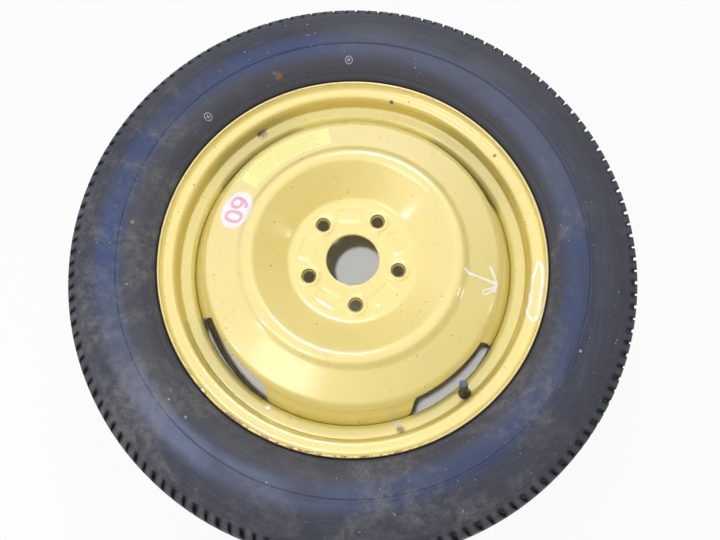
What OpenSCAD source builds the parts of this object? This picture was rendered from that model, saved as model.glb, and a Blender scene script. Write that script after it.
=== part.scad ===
// Space saver spare wheel: a narrow tyre on a wheel welded from two steel pressings.
// The wheel lies on its inner side. Z is the axle line, the outer face is up,
// and the origin is the middle of the tyre. All sizes are in millimetres.

/* [Rim] */
// Width between the two bead flanges
rim_w = 101.6; // [92:0.1:112]
// Diameter of the bead seat at the flange
seat_d = 436.6; // [430:0.1:444]
// Taper of the bead seat
seat_taper = 5; // [3:0.5:7]
// Depth of the bead seat, from the flange to the groove
seat_w = 20; // [18:0.5:22]
// Height of the flange over the bead seat
flange_h = 17.2; // [16.5:0.1:19]
// Reach of the flange lip beyond the flange
lip_w = 11.2; // [10.5:0.1:14]
// Thickness of the rim sheet
rim_t = 2.5; // [2:0.1:3.2]
// Depth of the well below the bead seat
well_drop = 21; // [18:0.1:23]
// Slope of the outer wall of the well, which the valve stands on
well_slope = 15; // [10:1:20]
// Height of the corner where the well turns to the inner bead seat
well_low_z = -12; // [-16:0.5:-9]

/* [Disc] */
// Thickness of the disc sheet
disc_t = 3.5; // [2.8:0.1:4.2]
// Height of the hub face over the middle of the rim
offset_z = 45; // [38:0.5:50]
// Diameter of the hub bore
bore_d = 64.1; // [54:0.1:72]
// Rounding of the upper edge of the hub bore
bore_round = 1.5; // [0.5:0.1:2]
// Number of wheel bolts
bolt_count = 5; // [4:1:6]
// Diameter of the bolt circle
bolt_pcd = 114.3; // [108:0.1:120]
// Diameter of a bolt hole
bolt_d = 14; // [12:0.1:15]
// Outer diameter of the cone that a wheel nut seats in
nut_seat_d = 17.8; // [16:0.1:19]
// Diameter of the raised boss around a bolt hole
boss_d = 30; // [26:0.5:31]
// Height of the raised boss
boss_h = 1.3; // [0.8:0.1:2]
// Angle of the first bolt hole
bolt_angle = -14.8; // [-36:0.1:36]
// Depth of the pressed pads between the bolt holes
pad_h = 1.2; // [0.6:0.1:1.8]
// Length of a pad, across the radius
pad_l = 28; // [20:0.5:30]
// Width of a pad, along the radius
pad_w = 16; // [12:0.5:18]
// Width of the hub plate outside the bolt circle
plate_rim = 19.85; // [18:0.05:23]
// Slope of the wall of the dish
dish_slope = 35.6; // [30:0.1:37]
// Rounding of the crown around the dish
crown_round = 14; // [10:0.5:15]
// Width of the slope from the crown down to the crease
crown_w = 13.7; // [12:0.1:16]
// Slope of the crown down to the crease
crown_slope = 32; // [30:0.5:38]
// Width of the band between the crease and the shoulder
band_w = 41.8; // [38:0.1:46]
// Slope of the band outside the crease
band_slope = 20.6; // [18:0.1:24]
// Distance of the shoulder from the well
shoulder_gap = 16.8; // [15:0.1:19]
// Rounding of the shoulder
shoulder_round = 16; // [10:0.5:18]
// Drop from the corner of the well to where the side wall of the disc meets it
skirt_drop = 6.8; // [6:0.1:9]
// Height of the lower edge of the skirt
skirt_z = -4; // [-6:0.5:2]
// Number of vent slots
slot_count = 4; // [3:1:5]
// Width of a vent slot, between the disc and the well
slot_w = 14.3; // [11:0.1:16]
// Angle of the first slot
slot_angle = 39.25; // [0:0.25:90]
// Angle that a slot spans at the rim
slot_span = 40.8; // [36:0.2:46]
// Angle that a slot spans at its inner edge
slot_inner_span = 31; // [28:0.2:34]
// Leg of the weld bead under each skirt
weld_leg = 3.2; // [2.4:0.1:4]
// Angle that a weld bead spans
weld_span = 40; // [20:1:44]

/* [Tyre] */
// Height of the tyre from the bead seat to the tread
section_h = 129.6; // [124:0.1:136]
// Width of the tyre over its side walls
section_w = 165; // [160:0.5:172]
// Width of the tread, between its shoulders
tread_w = 128; // [122:0.5:132]
// Thickness of the tread
tread_t = 11; // [9.5:0.1:12.5]
// Thickness of the side wall
wall_t = 7.5; // [6.5:0.1:9]
// Width of the bead on its seat
bead_w = 14.5; // [13:0.1:15]
// Depth of the tread grooves
groove_depth = 4.5; // [3:0.1:5.5]
// Width of the tread grooves
groove_w = 5; // [3:0.1:7]
// Distance of the inner grooves from the middle
groove_in_z = 12; // [9:0.5:15]
// Distance of the outer grooves from the middle
groove_out_z = 34; // [30:0.5:38]
// Number of wide notches around each shoulder
notch_count = 72; // [60:4:80]
// Width of a wide notch
notch_w = 4.6; // [3:0.1:6]
// Width of the narrow notch between two wide ones
slit_w = 2; // [1.2:0.1:3]
// Depth of the shoulder notches
notch_depth = 4.6; // [3:0.1:5.5]
// Slant of the shoulder notches
notch_slant = 14; // [0:1:20]
// Height of the raised line around the widest place of the side wall
mould_line_h = 0.6; // [0.3:0.1:1]
// Distance of that raised line from the edge of the rim
mould_line_gap = 45.5; // [40:0.5:54]

/* [Valve] */
// Distance of the valve hole from the groove, along the radius
valve_in = 6; // [5.4:0.1:7]
// Diameter of the hole in the rim
valve_hole_d = 11.5; // [11:0.1:12]
// Height of the stem over the rim
stem_h = 33; // [30:0.5:38]
// Reach of the valve behind the rim
tail_h = 13.5; // [12:0.5:16]
// Diameter of the rubber foot on the rim
foot_d = 15.2; // [14:0.1:16]
// Diameter of the rubber around the stem
sleeve_d = 9.2; // [8.8:0.1:9.6]
// Diameter of the threaded end of the stem
thread_d = 7.7; // [7.4:0.1:7.9]
// Diameter of the core chamber in the stem
chamber_d = 5.3; // [5.1:0.1:5.6]
// Diameter of the air way below the chamber
airway_d = 3.6; // [3:0.1:4]
// Outer diameter of the cap
cap_d = 10; // [9.6:0.1:11]
// Height of the cap
cap_h = 13; // [11:0.5:14]
// Number of grip ribs on the cap
cap_ribs = 16; // [8:1:20]
// Diameter of the core pin
pin_d = 1.2; // [1:0.1:1.4]
// Outer diameter of the core barrel
barrel_d = 4; // [3.7:0.1:4.2]
// Inner diameter of the core barrel
barrel_bore_d = 3; // [2.8:0.1:3.1]
// Travel of the core pin
pin_travel = 1.2; // [0.8:0.1:1.5]
// Wire of the core spring
spring_wire = 0.3; // [0.25:0.05:0.35]
// Turns of the core spring
spring_turns = 6; // [4:1:7]

/* [Labels] */
// Thickness of the labels
label_t = 0.15; // [0.1:0.05:0.3]
// Length of the oval label, across the radius
oval_l = 50; // [40:1:56]
// Width of the oval label, along the radius
oval_w = 41; // [34:1:44]
// Angle of the oval label
oval_angle = 157.6; // [150:0.2:164]
// Distance of the middle of the oval label from the crease
oval_gap = 12.8; // [11:0.1:16]
// Distance of the arched label from the crease
arch_gap = 6.3; // [4:0.1:9]
// Width of the arched label, along the radius
arch_w = 26; // [20:0.5:28]
// Angle where the arched label begins
arch_from = 100; // [90:1:110]
// Angle that the arched label spans
arch_span = 44; // [30:1:46]

/* [Hidden] */
$fn = 96;

steel = "khaki";
seat_r = seat_d / 2;
well_r = seat_r - well_drop;
flange_r = seat_r + flange_h;
flange_z = rim_w / 2;
lip_z = flange_z + lip_w;
curl_r = 9.5;
heel_r = 6.5;
face_z = flange_z + rim_t;
seat_in_r = seat_r - rim_t;
groove_z = face_z - seat_w;
groove_r = seat_in_r - seat_w * tan(seat_taper);
well_top_z = groove_z - (groove_r - well_r) * tan(well_slope);
well_round = 8;

plate_z = offset_z + pad_h + disc_t;
bolt_r = bolt_pcd / 2;
plate_r = bolt_r + plate_rim;
shoulder_r = well_r - shoulder_gap;
crease_r = shoulder_r - band_w;
crown_r = crease_r - crown_w;
crown_z = plate_z + (crown_r - plate_r) * tan(dish_slope);
crease_z = crown_z - crown_w * tan(crown_slope);
shoulder_z = crease_z - band_w * tan(band_slope);
slot_r = well_r - slot_w;

// The two roundings of the dish share the length of its wall
dish_wall = (crown_r - plate_r) / cos(dish_slope);
dish_round = 14;
dish_fit = min(1, dish_wall / (dish_round * tan(dish_slope / 2)
                               + crown_round * tan((dish_slope + crown_slope) / 2) + 1));

tyre_r = seat_r + section_h;
mould_line_r = flange_r + mould_line_gap;
side_z = section_w / 2 - mould_line_h;
side_foot = 22;
side_head = 38;
shoulder_in = 7;
crown_in_z = tread_w / 2 - 28;
fit_gap = 0.3;
seat_line = rim_t / cos(seat_taper) - rim_t;
notch_from_z = groove_out_z + groove_w;

valve_r = groove_r - valve_in;
valve_z = groove_z - (groove_r - valve_r) * tan(well_slope);
valve_angle = slot_angle - 90;
core_gap = 0.15;
cap_gap = 0.3;
cap_wall = 1.8;
seal_t = 0.9;
cap_top = stem_h + cap_gap + seal_t + cap_wall;
chamber_z = stem_h - 23;
plug_z = stem_h - 6.5;
barrel_z = plug_z - 9;
barrel_seal_h = 2.5;
pin_top = stem_h - 0.3;
cup_d = 4;
cup_h = 2.2;
seat_washer_t = 0.8;
cup_z = barrel_z - seat_washer_t - cup_h;
pin_bottom = cup_z - 1;
spring_r = (pin_d + barrel_bore_d) / 4;

// A vector of length one, and the same turned a quarter to the left
function unit(v) = v / norm(v);
function left(v) = [-v[1], v[0]];

// One corner of a path, drawn as an arc. Corner b lies between a and c, b[2] is its radius
// on the drawn side, and off moves the path to its left with the same centre.
function corner(a, b, c, off, step_deg) =
    let (u = unit([b[0] - a[0], b[1] - a[1]]),
         w = unit([c[0] - b[0], c[1] - b[1]]),
         turn = cross(u, w) > 0 ? 1 : -1,
         angle = acos(u * w),
         centre = [b[0], b[1]] + (left(u) * turn - u * tan(angle / 2)) * b[2],
         radius = b[2] - turn * off,
         from = atan2(-turn * left(u)[1], -turn * left(u)[0]),
         steps = max(1, ceil(angle / step_deg)))
    [for (i = [0:steps]) let (q = from + turn * angle * i / steps)
        centre + radius * [cos(q), sin(q)]];

// A path through corners [radius from the axle, height, rounding], moved left by off
function path(p, off = 0, step_deg = 9) =
    let (last = len(p) - 1,
         first_dir = left(unit([p[1][0] - p[0][0], p[1][1] - p[0][1]])),
         last_dir = left(unit([p[last][0] - p[last - 1][0], p[last][1] - p[last - 1][1]])))
    concat([[p[0][0], p[0][1]] + first_dir * off],
           [for (i = [1:last - 1]) each corner(p[i - 1], p[i], p[i + 1], off, step_deg)],
           [[p[last][0], p[last][1]] + last_dir * off]);

function reversed(p) = [for (i = [len(p) - 1:-1:0]) p[i]];
function mirrored(p) = [for (q = reversed(p)) [q[0], -q[1], q[2]]];
function closed_band(p, from, to, step_deg = 9) =
    concat(path(p, from, step_deg), reversed(path(p, to, step_deg)));

// The inner face of the rim sheet, from the upper lip to the lower lip
rim_upper = [[flange_r - rim_t, lip_z],
             [flange_r - rim_t, face_z, curl_r - rim_t],
             [seat_in_r, face_z, heel_r + rim_t],
             [groove_r, groove_z, 3]];
rim_line = concat(rim_upper,
                  [[well_r, well_top_z, well_round], [well_r, well_low_z, well_round]],
                  mirrored(rim_upper));

// The upper face of the disc sheet, from the hub plate to the lower edge of the skirt
disc_line = [[bore_d / 2, plate_z],
             [plate_r, plate_z, dish_round * dish_fit],
             [crown_r, crown_z, crown_round * dish_fit],
             [crease_r, crease_z, 5],
             [shoulder_r, shoulder_z, shoulder_round],
             [well_r, well_top_z - skirt_drop, 12],
             [well_r, skirt_z]];

// The outer face of the tyre, from the upper bead toe to the middle of the tread
seat_slope = tan(seat_taper);
toe_z = flange_z - bead_w;
tyre_outer = [[seat_r + seat_line - (face_z - toe_z) * seat_slope, toe_z],
              [seat_r + seat_line - (face_z - flange_z + fit_gap) * seat_slope,
               flange_z - fit_gap, heel_r + 1],
              [flange_r + 2 * fit_gap, flange_z - fit_gap, curl_r + fit_gap],
              [flange_r + 2 * fit_gap, lip_z - 2, 2],
              [flange_r + side_foot, side_z, 35],
              [tyre_r - side_head, side_z, 50],
              [tyre_r - shoulder_in, tread_w / 2, 14],
              [tyre_r, crown_in_z, 150]];

// The inner face of the tyre, from the upper bead toe to the middle of the tread
cavity_r = tyre_r - tread_t;
tyre_inner = [[seat_r + 1, toe_z],
              [seat_r + 13, toe_z + 0.5, 7],
              [flange_r + 12, lip_z - 2, 14],
              [flange_r + side_foot + 5, side_z - wall_t, 30],
              [tyre_r - side_head - 4, side_z - wall_t, 40],
              [cavity_r - 5, tread_w / 2 - 6, 14],
              [cavity_r, crown_in_z - 2, 100]];

module rounded_ring(line, from, to, step_deg = 9)
    rotate_extrude() polygon(closed_band(line, from, to, step_deg));

// Prism that cuts one V shaped notch across the upper shoulder of the tread
module notch(width, angle)
    rotate([0, 0, angle])
        translate([tyre_r, 0, notch_from_z])
            rotate([notch_slant, 0, 0])
                linear_extrude(height = tread_w / 2)
                    polygon([[1, -width / 2 * (1 + 1 / notch_depth)],
                             [1, width / 2 * (1 + 1 / notch_depth)],
                             [-notch_depth, 0]]);

module shoulder_notches()
    for (i = [0:notch_count - 1]) {
        notch(notch_w, i * 360 / notch_count);
        notch(slit_w, (i + 0.5) * 360 / notch_count);
    }

// Low raised line around the widest place of the upper side wall
module mould_line()
    rotate_extrude()
        polygon([[mould_line_r - 2 * mould_line_h, side_z - 1],
                 [mould_line_r - 2 * mould_line_h, side_z],
                 [mould_line_r - mould_line_h / 2, side_z + mould_line_h],
                 [mould_line_r + mould_line_h / 2, side_z + mould_line_h],
                 [mould_line_r + 2 * mould_line_h, side_z],
                 [mould_line_r + 2 * mould_line_h, side_z - 1]]);

module tyre()
    color([0.2, 0.21, 0.25])
        difference() {
            union() {
                rotate_extrude()
                    polygon(concat(path(concat(tyre_outer, mirrored(tyre_outer)), 0, 12),
                                   reversed(path(concat(tyre_inner, mirrored(tyre_inner)), 0, 15))));
                mould_line();
                rotate([180, 0, 0]) mould_line();
            }
            rotate_extrude()
                for (z = [-groove_out_z, -groove_in_z, groove_in_z, groove_out_z])
                    translate([tyre_r - groove_depth, z - groove_w / 2])
                        square([groove_depth + 5, groove_w]);
            shoulder_notches();
            rotate([180, 0, 0]) shoulder_notches();
        }

module at_valve()
    rotate([0, 0, valve_angle])
        translate([valve_r, 0, valve_z])
            rotate([0, -well_slope, 0])
                children();

module rim_sheet()
    difference() {
        rounded_ring(rim_line, 0, rim_t);
        at_valve() cylinder(h = 30, d = valve_hole_d, center = true);
    }

module rim()
    color(steel) rim_sheet();

module each_bolt(shift = 0)
    for (i = [0:bolt_count - 1])
        rotate([0, 0, bolt_angle + (i + shift) * 360 / bolt_count])
            translate([bolt_r, 0, 0])
                children();

// Outline of a pad, a block with rounded corners
pad_round = 4;
pad_outline = [for (c = [[1, 1, 0], [-1, 1, 90], [-1, -1, 180], [1, -1, 270]], a = [0:30:90])
    [c[0] * (pad_w / 2 - pad_round) + pad_round * cos(c[2] + a),
     c[1] * (pad_l / 2 - pad_round) + pad_round * sin(c[2] + a)]];

// Outline of a vent slot. Its ends rise from the inner edge to the rim in a smooth S.
function ease(t) = t * t * (3 - 2 * t);
slot_out_r = well_r + 4;
function slot_end(side) =
    [for (i = [0:10]) let (t = i / 10,
                           a = side * (slot_inner_span + t * (slot_span - slot_inner_span)) / 2,
                           r = slot_r + ease(t) * (well_r - slot_r))
        r * [cos(a), sin(a)]];
slot_outline = concat([[slot_r - 4, 0]],
                      [(slot_r - 4) * [cos(slot_inner_span / 2), -sin(slot_inner_span / 2)]],
                      slot_end(-1),
                      [for (k = [-6:6]) slot_out_r * [cos(k * slot_span / 12), sin(k * slot_span / 12)]],
                      reversed(slot_end(1)),
                      [(slot_r - 4) * [cos(slot_inner_span / 2), sin(slot_inner_span / 2)]]);

module vent_slots()
    for (i = [0:slot_count - 1])
        rotate([0, 0, slot_angle + i * 360 / slot_count])
            difference() {
                translate([0, 0, skirt_z - 5])
                    linear_extrude(height = plate_z + 40)
                        polygon(slot_outline);
                translate([0, 0, skirt_z - 6])
                    cylinder(h = plate_z + 50, r = slot_r, $fn = 180);
            }

module disc()
    color(steel)
        difference() {
            union() {
                rounded_ring(disc_line, -disc_t, 0);
                each_bolt()
                    translate([0, 0, plate_z - disc_t / 2])
                        cylinder(h = disc_t / 2, d = boss_d);
                each_bolt()
                    translate([0, 0, plate_z])
                        cylinder(h = boss_h, d1 = boss_d, d2 = boss_d - 5 * boss_h);
                each_bolt(0.5)
                    translate([0, 0, offset_z])
                        linear_extrude(height = pad_h + 1)
                            polygon(pad_outline);
            }
            each_bolt(0.5)
                translate([0, 0, plate_z - pad_h])
                    linear_extrude(height = pad_h + 5)
                        polygon(pad_outline);
            each_bolt()
                translate([0, 0, offset_z - 5])
                    cylinder(h = disc_t + 20, d = bolt_d);
            each_bolt()
                translate([0, 0, plate_z + boss_h - (nut_seat_d - bolt_d) / 2 / tan(30)])
                    cylinder(h = (nut_seat_d - bolt_d) / 2 / tan(30), d1 = bolt_d, d2 = nut_seat_d);
            rotate_extrude()
                difference() {
                    translate([bore_d / 2 - 1, plate_z - bore_round])
                        square([bore_round + 1, bore_round + 1]);
                    translate([bore_d / 2 + bore_round, plate_z - bore_round])
                        circle(r = bore_round);
                }
            vent_slots();
        }

module disc_welds()
    color([0.75, 0.68, 0.4])
        for (i = [0:slot_count - 1])
            rotate([0, 0, slot_angle + (i + 0.5) * 360 / slot_count - weld_span / 2])
                rotate_extrude(angle = weld_span)
                    polygon([[well_r - weld_leg, skirt_z], [well_r, skirt_z],
                             [well_r, skirt_z - weld_leg]]);

// The valve is drawn upright with its hole in the rim sheet at height 0.
// Its rubber is pulled into the hole and takes the form of the sheet around it.
module valve_body()
    color([0.12, 0.12, 0.13])
        difference() {
            at_valve() valve_rubber();
            rim_sheet();
        }

module valve_rubber()
    rotate_extrude()
        polygon([[thread_d / 2 - 0.9, -tail_h + 1.5], [thread_d / 2 + 0.6, -tail_h + 0.5],
                         [valve_hole_d / 2 + 1.6, -rim_t - 5], [valve_hole_d / 2 + 2, -rim_t - 0.8],
                         [valve_hole_d / 2 + 2, -rim_t / 2], [valve_hole_d / 2, -rim_t / 2],
                         [valve_hole_d / 2, -0.6], [foot_d / 2 - 0.6, -0.6], [foot_d / 2, 1],
                         [foot_d / 2 - 0.5, 2.6], [sleeve_d / 2 + 0.6, 8], [sleeve_d / 2, 11],
                         [sleeve_d / 2, stem_h - 12.5], [sleeve_d / 2 - 0.4, stem_h - 12],
                         [thread_d / 2 - 0.9, stem_h - 12]]);

module valve_stem()
    color([0.72, 0.6, 0.35])
        at_valve()
            difference() {
                union() {
                    translate([0, 0, -tail_h])
                        cylinder(h = tail_h + stem_h - 12, d = thread_d - 1.8);
                    translate([0, 0, stem_h - 12])
                        cylinder(h = 11.4, d = thread_d);
                    translate([0, 0, stem_h - 0.6])
                        cylinder(h = 0.6, d1 = thread_d, d2 = thread_d - 1.2);
                }
                translate([0, 0, -tail_h - 1])
                    cylinder(h = tail_h + stem_h, d = airway_d);
                translate([0, 0, chamber_z])
                    cylinder(h = stem_h - chamber_z + 1, d = chamber_d);
            }

module core_plug()
    color([0.78, 0.66, 0.38])
        at_valve()
            difference() {
                union() {
                    translate([0, 0, plug_z])
                        cylinder(h = 4.5, d = chamber_d);
                    translate([0, 0, plug_z + 4.5])
                        cylinder(h = 1.6, d = chamber_d - 1.5);
                }
                translate([0, 0, plug_z - 1])
                    cylinder(h = 10, d = pin_d + 2 * core_gap);
            }

module core_barrel()
    color([0.78, 0.66, 0.38])
        at_valve()
            translate([0, 0, barrel_z])
                difference() {
                    cylinder(h = plug_z - barrel_z, d = barrel_d);
                    translate([0, 0, 1])
                        cylinder(h = plug_z - barrel_z, d = barrel_bore_d);
                    translate([0, 0, -1])
                        cylinder(h = 4, d = pin_d + 2 * core_gap);
                }

module core_barrel_seal()
    color([0.9, 0.3, 0.2])
        at_valve()
            translate([0, 0, barrel_z + 3])
                difference() {
                    cylinder(h = barrel_seal_h, d = chamber_d);
                    translate([0, 0, -1])
                        cylinder(h = barrel_seal_h + 2, d = barrel_d);
                }

module core_pin()
    color([0.7, 0.7, 0.72])
        at_valve()
            union() {
                translate([0, 0, pin_bottom])
                    cylinder(h = pin_top - pin_bottom, d = pin_d);
                translate([0, 0, plug_z - 1 - pin_travel])
                    cylinder(h = 1, d = pin_d + 1);
            }

module core_cup()
    color([0.78, 0.66, 0.38])
        at_valve()
            translate([0, 0, cup_z])
                difference() {
                    cylinder(h = cup_h, d = cup_d);
                    translate([0, 0, -1])
                        cylinder(h = cup_h + 2, d = pin_d);
                }

module core_cup_seal()
    color([0.1, 0.1, 0.1])
        at_valve()
            translate([0, 0, cup_z + cup_h])
                difference() {
                    cylinder(h = seat_washer_t, d = cup_d - 0.4);
                    translate([0, 0, -1])
                        cylinder(h = seat_washer_t + 2, d = pin_d);
                }

// The spring stands on the floor of the barrel and pushes the collar of the pin up
spring_low = barrel_z + 1 + spring_wire / 2 + 0.02;
spring_high = plug_z - 1 - pin_travel - spring_wire / 2 - 0.02;
spring_rings = spring_turns * 12;
function spring_point(i, k) =
    let (a = i * 30, b = k * 60, r = spring_r + spring_wire / 2 * cos(b))
    [r * cos(a), r * sin(a),
     spring_low + (spring_high - spring_low) * i / spring_rings + spring_wire / 2 * sin(b)];

module core_spring()
    color([0.6, 0.6, 0.62])
        at_valve()
            polyhedron(
                [for (i = [0:spring_rings], k = [0:5]) spring_point(i, k)],
                concat([[0, 1, 2, 3, 4, 5]],
                       [for (i = [0:spring_rings - 1], k = [0:5]) let (n = (k + 1) % 6)
                           [i * 6 + k, (i + 1) * 6 + k, (i + 1) * 6 + n, i * 6 + n]],
                       [[for (k = [5:-1:0]) spring_rings * 6 + k]]));

module valve_cap()
    color([0.2, 0.21, 0.26])
        at_valve()
            difference() {
                union() {
                    translate([0, 0, cap_top - cap_h])
                        cylinder(h = cap_h - 1, d = cap_d - 0.6);
                    translate([0, 0, cap_top - 1])
                        cylinder(h = 1, d1 = cap_d - 0.6, d2 = cap_d - 2);
                    for (i = [0:cap_ribs - 1])
                        rotate([0, 0, i * 360 / cap_ribs])
                            translate([cap_d / 2 - 0.4, 0, cap_top - cap_h])
                                cylinder(h = cap_h - 1.5, d = 0.8, $fn = 16);
                }
                translate([0, 0, cap_top - cap_h - 1])
                    cylinder(h = cap_h - cap_wall + 1, d = thread_d + 2 * cap_gap);
            }

module cap_seal()
    color([0.1, 0.1, 0.1])
        at_valve()
            translate([0, 0, stem_h + cap_gap])
                cylinder(h = seal_t, d = thread_d);

// Thin skin on the upper face of the disc, which the labels are cut from
module disc_skin()
    rounded_ring(disc_line, 0, label_t);

oval_outline = [for (a = [0:10:350]) [oval_w / 2 * cos(a), oval_l / 2 * sin(a)]];

module oval_label()
    color("white")
        intersection() {
            disc_skin();
            rotate([0, 0, oval_angle])
                translate([crease_r + oval_gap, 0, crease_z - 6])
                    rotate([0, band_slope, 0])
                        translate([0, 0, -5])
                            linear_extrude(height = 30)
                                polygon(oval_outline);
        }

module arched_label()
    color([1, 0.95, 0.35])
        intersection() {
            disc_skin();
            rotate([0, 0, arch_from])
                rotate_extrude(angle = arch_span)
                    translate([crease_r + arch_gap, shoulder_z])
                        square([arch_w, crown_z - shoulder_z]);
        }

tyre();
rim();
disc();
disc_welds();
valve_body();
valve_stem();
core_plug();
core_barrel();
core_barrel_seal();
core_pin();
core_cup();
core_cup_seal();
core_spring();
valve_cap();
cap_seal();
oval_label();
arched_label();
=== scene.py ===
"""Space saver spare wheel: the tyre, the welded steel wheel, the valve and the labels.

Lengths in the surfaces are millimetres and a mesh is written in metres. Constants give angles in
degrees, and the surfaces count them in radians. The wheel lies on its inner side with its axle on Z.
"""

import math

import bpy
import numpy as np
from bpy.props import FloatProperty, FloatVectorProperty, PointerProperty
from mathutils import Matrix, Vector


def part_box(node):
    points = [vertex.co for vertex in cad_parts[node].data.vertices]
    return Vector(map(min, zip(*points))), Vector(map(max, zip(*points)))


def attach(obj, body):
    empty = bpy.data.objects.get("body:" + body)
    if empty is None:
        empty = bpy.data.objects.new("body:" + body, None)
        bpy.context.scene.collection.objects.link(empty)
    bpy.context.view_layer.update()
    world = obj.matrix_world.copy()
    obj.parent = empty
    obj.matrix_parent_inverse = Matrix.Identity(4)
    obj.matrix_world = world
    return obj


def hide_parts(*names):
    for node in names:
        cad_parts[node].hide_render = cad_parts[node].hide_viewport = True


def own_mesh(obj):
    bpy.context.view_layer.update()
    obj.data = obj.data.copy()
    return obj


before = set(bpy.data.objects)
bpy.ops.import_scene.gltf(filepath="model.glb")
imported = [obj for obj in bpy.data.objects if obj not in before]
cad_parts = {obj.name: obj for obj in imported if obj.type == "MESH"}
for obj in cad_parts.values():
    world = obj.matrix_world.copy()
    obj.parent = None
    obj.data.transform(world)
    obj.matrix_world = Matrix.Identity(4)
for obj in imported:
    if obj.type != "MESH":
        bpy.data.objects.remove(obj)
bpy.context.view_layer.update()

bl_info = {
    "name": "Space Saver Spare Wheel",
    "version": (1, 0, 0),
    "blender": (4, 5, 0),
    "location": "View3D > Sidebar > Spare Wheel",
    "description": "Builds the tyre, rim, disc, valve and labels of a space saver spare wheel",
    "category": "Object",
}

MM = 0.001

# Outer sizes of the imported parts, which the surfaces are fitted to
TYRE_R = round(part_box("tyre")[1].x / MM, 1)
TYRE_HALF_W = round(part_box("tyre")[1].z / MM, 1)
RIM_R = round(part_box("rim")[1].x / MM, 1)
LIP_Z = round(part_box("rim")[1].z / MM, 1)
WELL_R = round(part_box("disc")[1].x / MM, 1)
WELD_LOW_Z = round(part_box("disc_welds")[0].z / MM, 1)
SKIRT_LOW_Z = round(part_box("disc")[0].z / MM, 1)
FLOOR_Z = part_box("tyre")[0].z

# Sections of the wheel, as radii and heights, and the holes and pads in the disc
LIP_H = 8.7
GROOVE = (214.05, 33.3)
WELL_TOP_Z = 28.81
WELL_LOW_Z = -12.0
PLATE_Z = 49.7
PLATE_R = 77.0
BORE_R = 32.05
BORE_ROUND = 1.5
BOLT_R = 57.15
BOLT_COUNT = 5
BOLT_ANGLE = -14.8
SLOT_COUNT = 4
SLOT_ANGLE = 39.25
SLOT_HALF = 20.4
SLOT_INNER_HALF = 15.5
SLOT_CORNER = 0.15
PAD_HALF = (14.0, 8.0)
PAD_ROUND = 4.0
PAD_EDGE = 2.0
CREASE = (138.7, 75.5)
SHOULDER = (180.5, 59.8)

# The valve stands on the outer wall of the well and leans towards the axle
VALVE_ANGLE = SLOT_ANGLE - 90
VALVE_R = 208.05
VALVE_Z = 31.69
VALVE_LEAN = 15.0
VALVE_HOLE_R = 5.75

# How far the foot of a printed or drawn line lies below the surface
RIBBON_FOOT = 0.04


def srgb(red, green, blue):
    """A colour of 0 to 255 screen values as linear light."""
    screen = np.array([red, green, blue]) / 255
    linear = np.where(screen <= 0.04045, screen / 12.92, ((screen + 0.055) / 1.055) ** 2.4)
    return tuple(float(c) for c in linear)


def size_property(name, description, default):
    """A length property whose default is given in millimetres."""
    return FloatProperty(name=name, description=description, default=default * MM, unit="LENGTH")


def colour_property(name, description, *screen):
    """A colour property whose default is given in 0 to 255 screen values."""
    return FloatVectorProperty(name=name, description=description, default=srgb(*screen),
                               subtype="COLOR")


class WheelSizes(bpy.types.PropertyGroup):
    """Sizes of the two steel pressings and their welds"""

    rim_sheet: size_property("Rim sheet", "Thickness of the rim sheet", 2.5)
    disc_sheet: size_property("Disc sheet", "Thickness of the disc sheet", 3.5)
    cut_edge: size_property("Cut edge", "Rounding of the sheets' cut edges", 0.4)
    boss_height: size_property("Boss height", "Height of the boss around a bolt hole", 1.3)
    pad_depth: size_property("Pad depth", "Depth of the pads between the bolt holes", 1.2)
    slot_width: size_property("Slot width", "Width of a vent slot along the radius", 14.3)
    weld_leg: size_property("Weld leg", "Leg of the weld beads", 3.2)


class TyreSizes(bpy.types.PropertyGroup):
    """Sizes of the tread pattern"""

    notch_depth: size_property("Notch depth", "Depth of the shoulder notches", 4.6)
    notch_slant: FloatProperty(
        name="Notch slant", description="Slant of the notches from the axle line",
        default=math.radians(14), subtype="ANGLE", unit="ROTATION")
    groove_depth: size_property("Groove depth", "Depth of the tread grooves", 4.5)
    sipe_depth: size_property("Sipe depth", "Depth of the cuts across the ribs", 2.0)


class WheelColours(bpy.types.PropertyGroup):
    """Colours that the finishes start from"""

    paint: colour_property("Paint", "Pale yellow paint of the wheel", 237, 217, 130)
    # Painted shade: painted into the grooves of the rim; the welds take it as their paint tone
    groove_shade_and_weld_tone: colour_property("Paint in grooves", "Ochre tone of the paint in the grooves", 206, 180, 76)
    rubber: colour_property("Rubber", "Dark rubber of the tyre", 69, 71, 81)
    # Painted reflection: the blue sheen stands in for light reflected off the rubber of the side wall
    painted_sheen: colour_property("Blue sheen", "Blue bloom on the side wall", 66, 82, 122)
    dust: colour_property("Dust", "Dry dust on the rubber", 138, 135, 132)
    label: colour_property("Oval label", "White film of the oval label", 252, 247, 250)
    ink: colour_property("Number", "Pink ink of the number", 238, 176, 192)
    arch: colour_property("Arched label", "Yellow film of the arched label", 253, 249, 160)


# Lines, grids and meshes


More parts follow.
